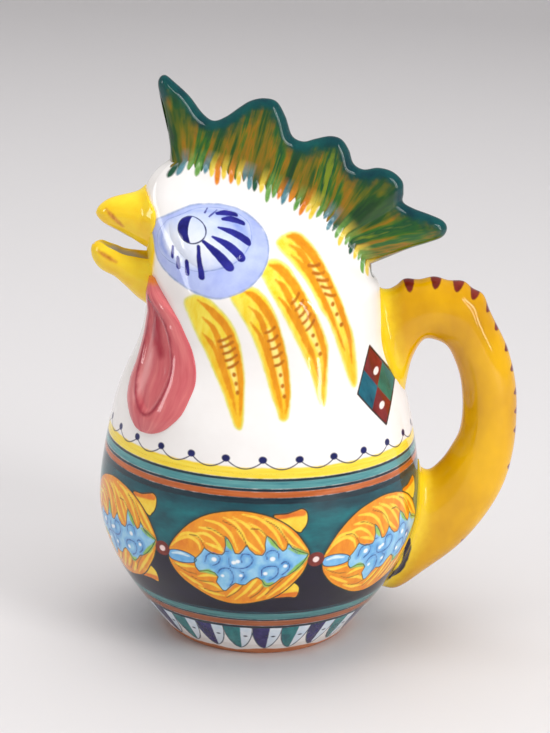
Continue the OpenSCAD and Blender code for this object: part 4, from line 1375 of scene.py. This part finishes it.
wattle_fields = {name: pad_values(values) for name, values in wattle_fields.items()}
wattle_material = glazed("coral glaze of the wattles", (wattle_paint, None, None), [
    ("wattle_deep", "b53443", "a02a3a", 2.5, 2, (90, 90, 20)),
    # Painted highlight: a paler pink patch low on the front side of the dish.
    ("wattle_painted_highlight", "f0a3a2", "e58c8c", 3, 2, (90, 90, 20)),
    (("wattle_dish", 0.7), "b5404e", "96283a", 1.0, 1.6, (90, 90, 20)),
    ("wattle_spot", "6a1420", "4a0c14", 0.5, 0.9, (300, 300, 300)),
    ("wattle_tip", "f0933c", "dd6f24", 1.2, 1.2, even)], 0.06)
for name, node, mirror in (("wattle_right", "right_wattle", 1), ("wattle_left", "left_wattle", -1)):
    wattle = solid(name, [(wattle_skin*[1, mirror, 1], True)], node, wattle_fields)
    wattle.data.materials.append(wattle_material)


# Studio
# A pale floor that curves up all round the jug, soft light from a window on the right, a smaller one on the
# left and an overhead panel, and the bright panes of the windows, which the glaze mirrors.
def plain(name, tone, roughness):
    """Material of one colour for what isn't part of the jug."""
    material = bpy.data.materials.new(name)
    material.use_nodes = True
    shader = material.node_tree.nodes["Principled BSDF"]
    shader.inputs["Base Color"].default_value = (*tone, 1)
    shader.inputs["Roughness"].default_value = roughness
    return material


floor_r = 2.2
sweep_r = 1.0
studio_h = 2.6
floor_sides = 64
sweep_turn = np.linspace(0, np.pi/2, 13)
sweep = np.stack([floor_r + sweep_r*np.sin(sweep_turn), sweep_r*(1 - np.cos(sweep_turn))], 1)
sweep = np.concatenate([[[0, 0]], sweep, [[floor_r + sweep_r, studio_h]]])
round_turn = np.arange(floor_sides + 1)*2*np.pi/floor_sides
floor_grid = np.stack([sweep[:, :1]*np.cos(round_turn), sweep[:, :1]*np.sin(round_turn),
                       sweep[:, 1:] + 0*round_turn], -1)
index = np.arange(floor_grid.shape[0]*floor_grid.shape[1]).reshape(floor_grid.shape[:2])
floor_mesh = bpy.data.meshes.new("floor")
floor_mesh.from_pydata(floor_grid.reshape(-1, 3).tolist(), [], np.stack(
    [index[:-1, :-1], index[1:, :-1], index[1:, 1:], index[:-1, 1:]], -1).reshape(-1, 4).tolist())
floor_mesh.shade_smooth()
floor = bpy.data.objects.new("floor", floor_mesh)
floor_mesh.materials.append(plain("pale floor", (0.71, 0.69, 0.69), 0.6))
bpy.context.scene.collection.objects.link(floor)

world = bpy.data.worlds.new("studio")
world.use_nodes = True
world.node_tree.nodes["Background"].inputs["Color"].default_value = (0.86, 0.87, 0.9, 1)
world.node_tree.nodes["Background"].inputs["Strength"].default_value = 0.34
bpy.context.scene.world = world


def panel(name, place, target, size, watts):
    """Rectangular light at place in metres, facing target."""
    light = bpy.data.lights.new(name, "AREA")
    light.shape = "RECTANGLE"
    light.size, light.size_y = size
    light.energy = watts
    lamp = bpy.data.objects.new(name, light)
    forward = np.array(target) - np.array(place)
    forward = forward/np.linalg.norm(forward)
    right = np.cross(forward, [0, 0, 1])
    right = right/np.linalg.norm(right)
    up = np.cross(right, forward)
    matrix = np.eye(4)
    matrix[:3, 0], matrix[:3, 1], matrix[:3, 2], matrix[:3, 3] = right, up, -forward, place
    lamp.matrix_world = Matrix(matrix.tolist())
    bpy.context.scene.collection.objects.link(lamp)
    return lamp


for name, place, size, watts in (("window", (1.1, -1.0, 0.75), (0.5, 1.1), 9),
                                 ("left window", (-1.3, -0.9, 0.9), (0.5, 0.9), 2.5),
                                 ("overhead", (0, 0.2, 2.2), (2.4, 2.4), 47)):
    panel(name, place, (0, 0, 0.12), size, watts).visible_glossy = False
panel("window pane", (1.16, -0.92, 0.75), (0, 0, 0.12), (0.07, 1.1), 3.5)
panel("second pane", (1.0, -1.1, 0.75), (0, 0, 0.12), (0.05, 1.1), 2)
panel("left pane", (-1.5, -0.4, 0.65), (0, 0, 0.15), (0.2, 0.5), 1.8)
bpy.context.scene.view_settings.view_transform = "Standard"

# Camera, where the photograph was taken from: the length of the sight line, its drop and roll, and the field
camera_d = 1000
camera_drop = np.radians(16.861)
camera_x = 5.57
camera_z = 126.14
camera_roll = np.radians(1.614)
picture_h = 733
focal_px = 2156.2
lens = bpy.data.cameras.new("camera")
lens.sensor_fit = "VERTICAL"
lens.sensor_height = 36
lens.lens = 36*focal_px/picture_h
camera = bpy.data.objects.new("camera", lens)
forward = np.array([0, np.cos(camera_drop), -np.sin(camera_drop)])
right = np.array([1.0, 0, 0])
up = np.array([0, np.sin(camera_drop), np.cos(camera_drop)])
c, s = np.cos(camera_roll), np.sin(camera_roll)
matrix = np.eye(4)
matrix[:3, 0] = c*right + s*up
matrix[:3, 1] = c*up - s*right
matrix[:3, 2] = -forward
matrix[:3, 3] = (np.array([camera_x, 0, camera_z]) - camera_d*forward)*MM
camera.matrix_world = Matrix(matrix.tolist())
bpy.context.scene.collection.objects.link(camera)
bpy.context.scene.camera = camera
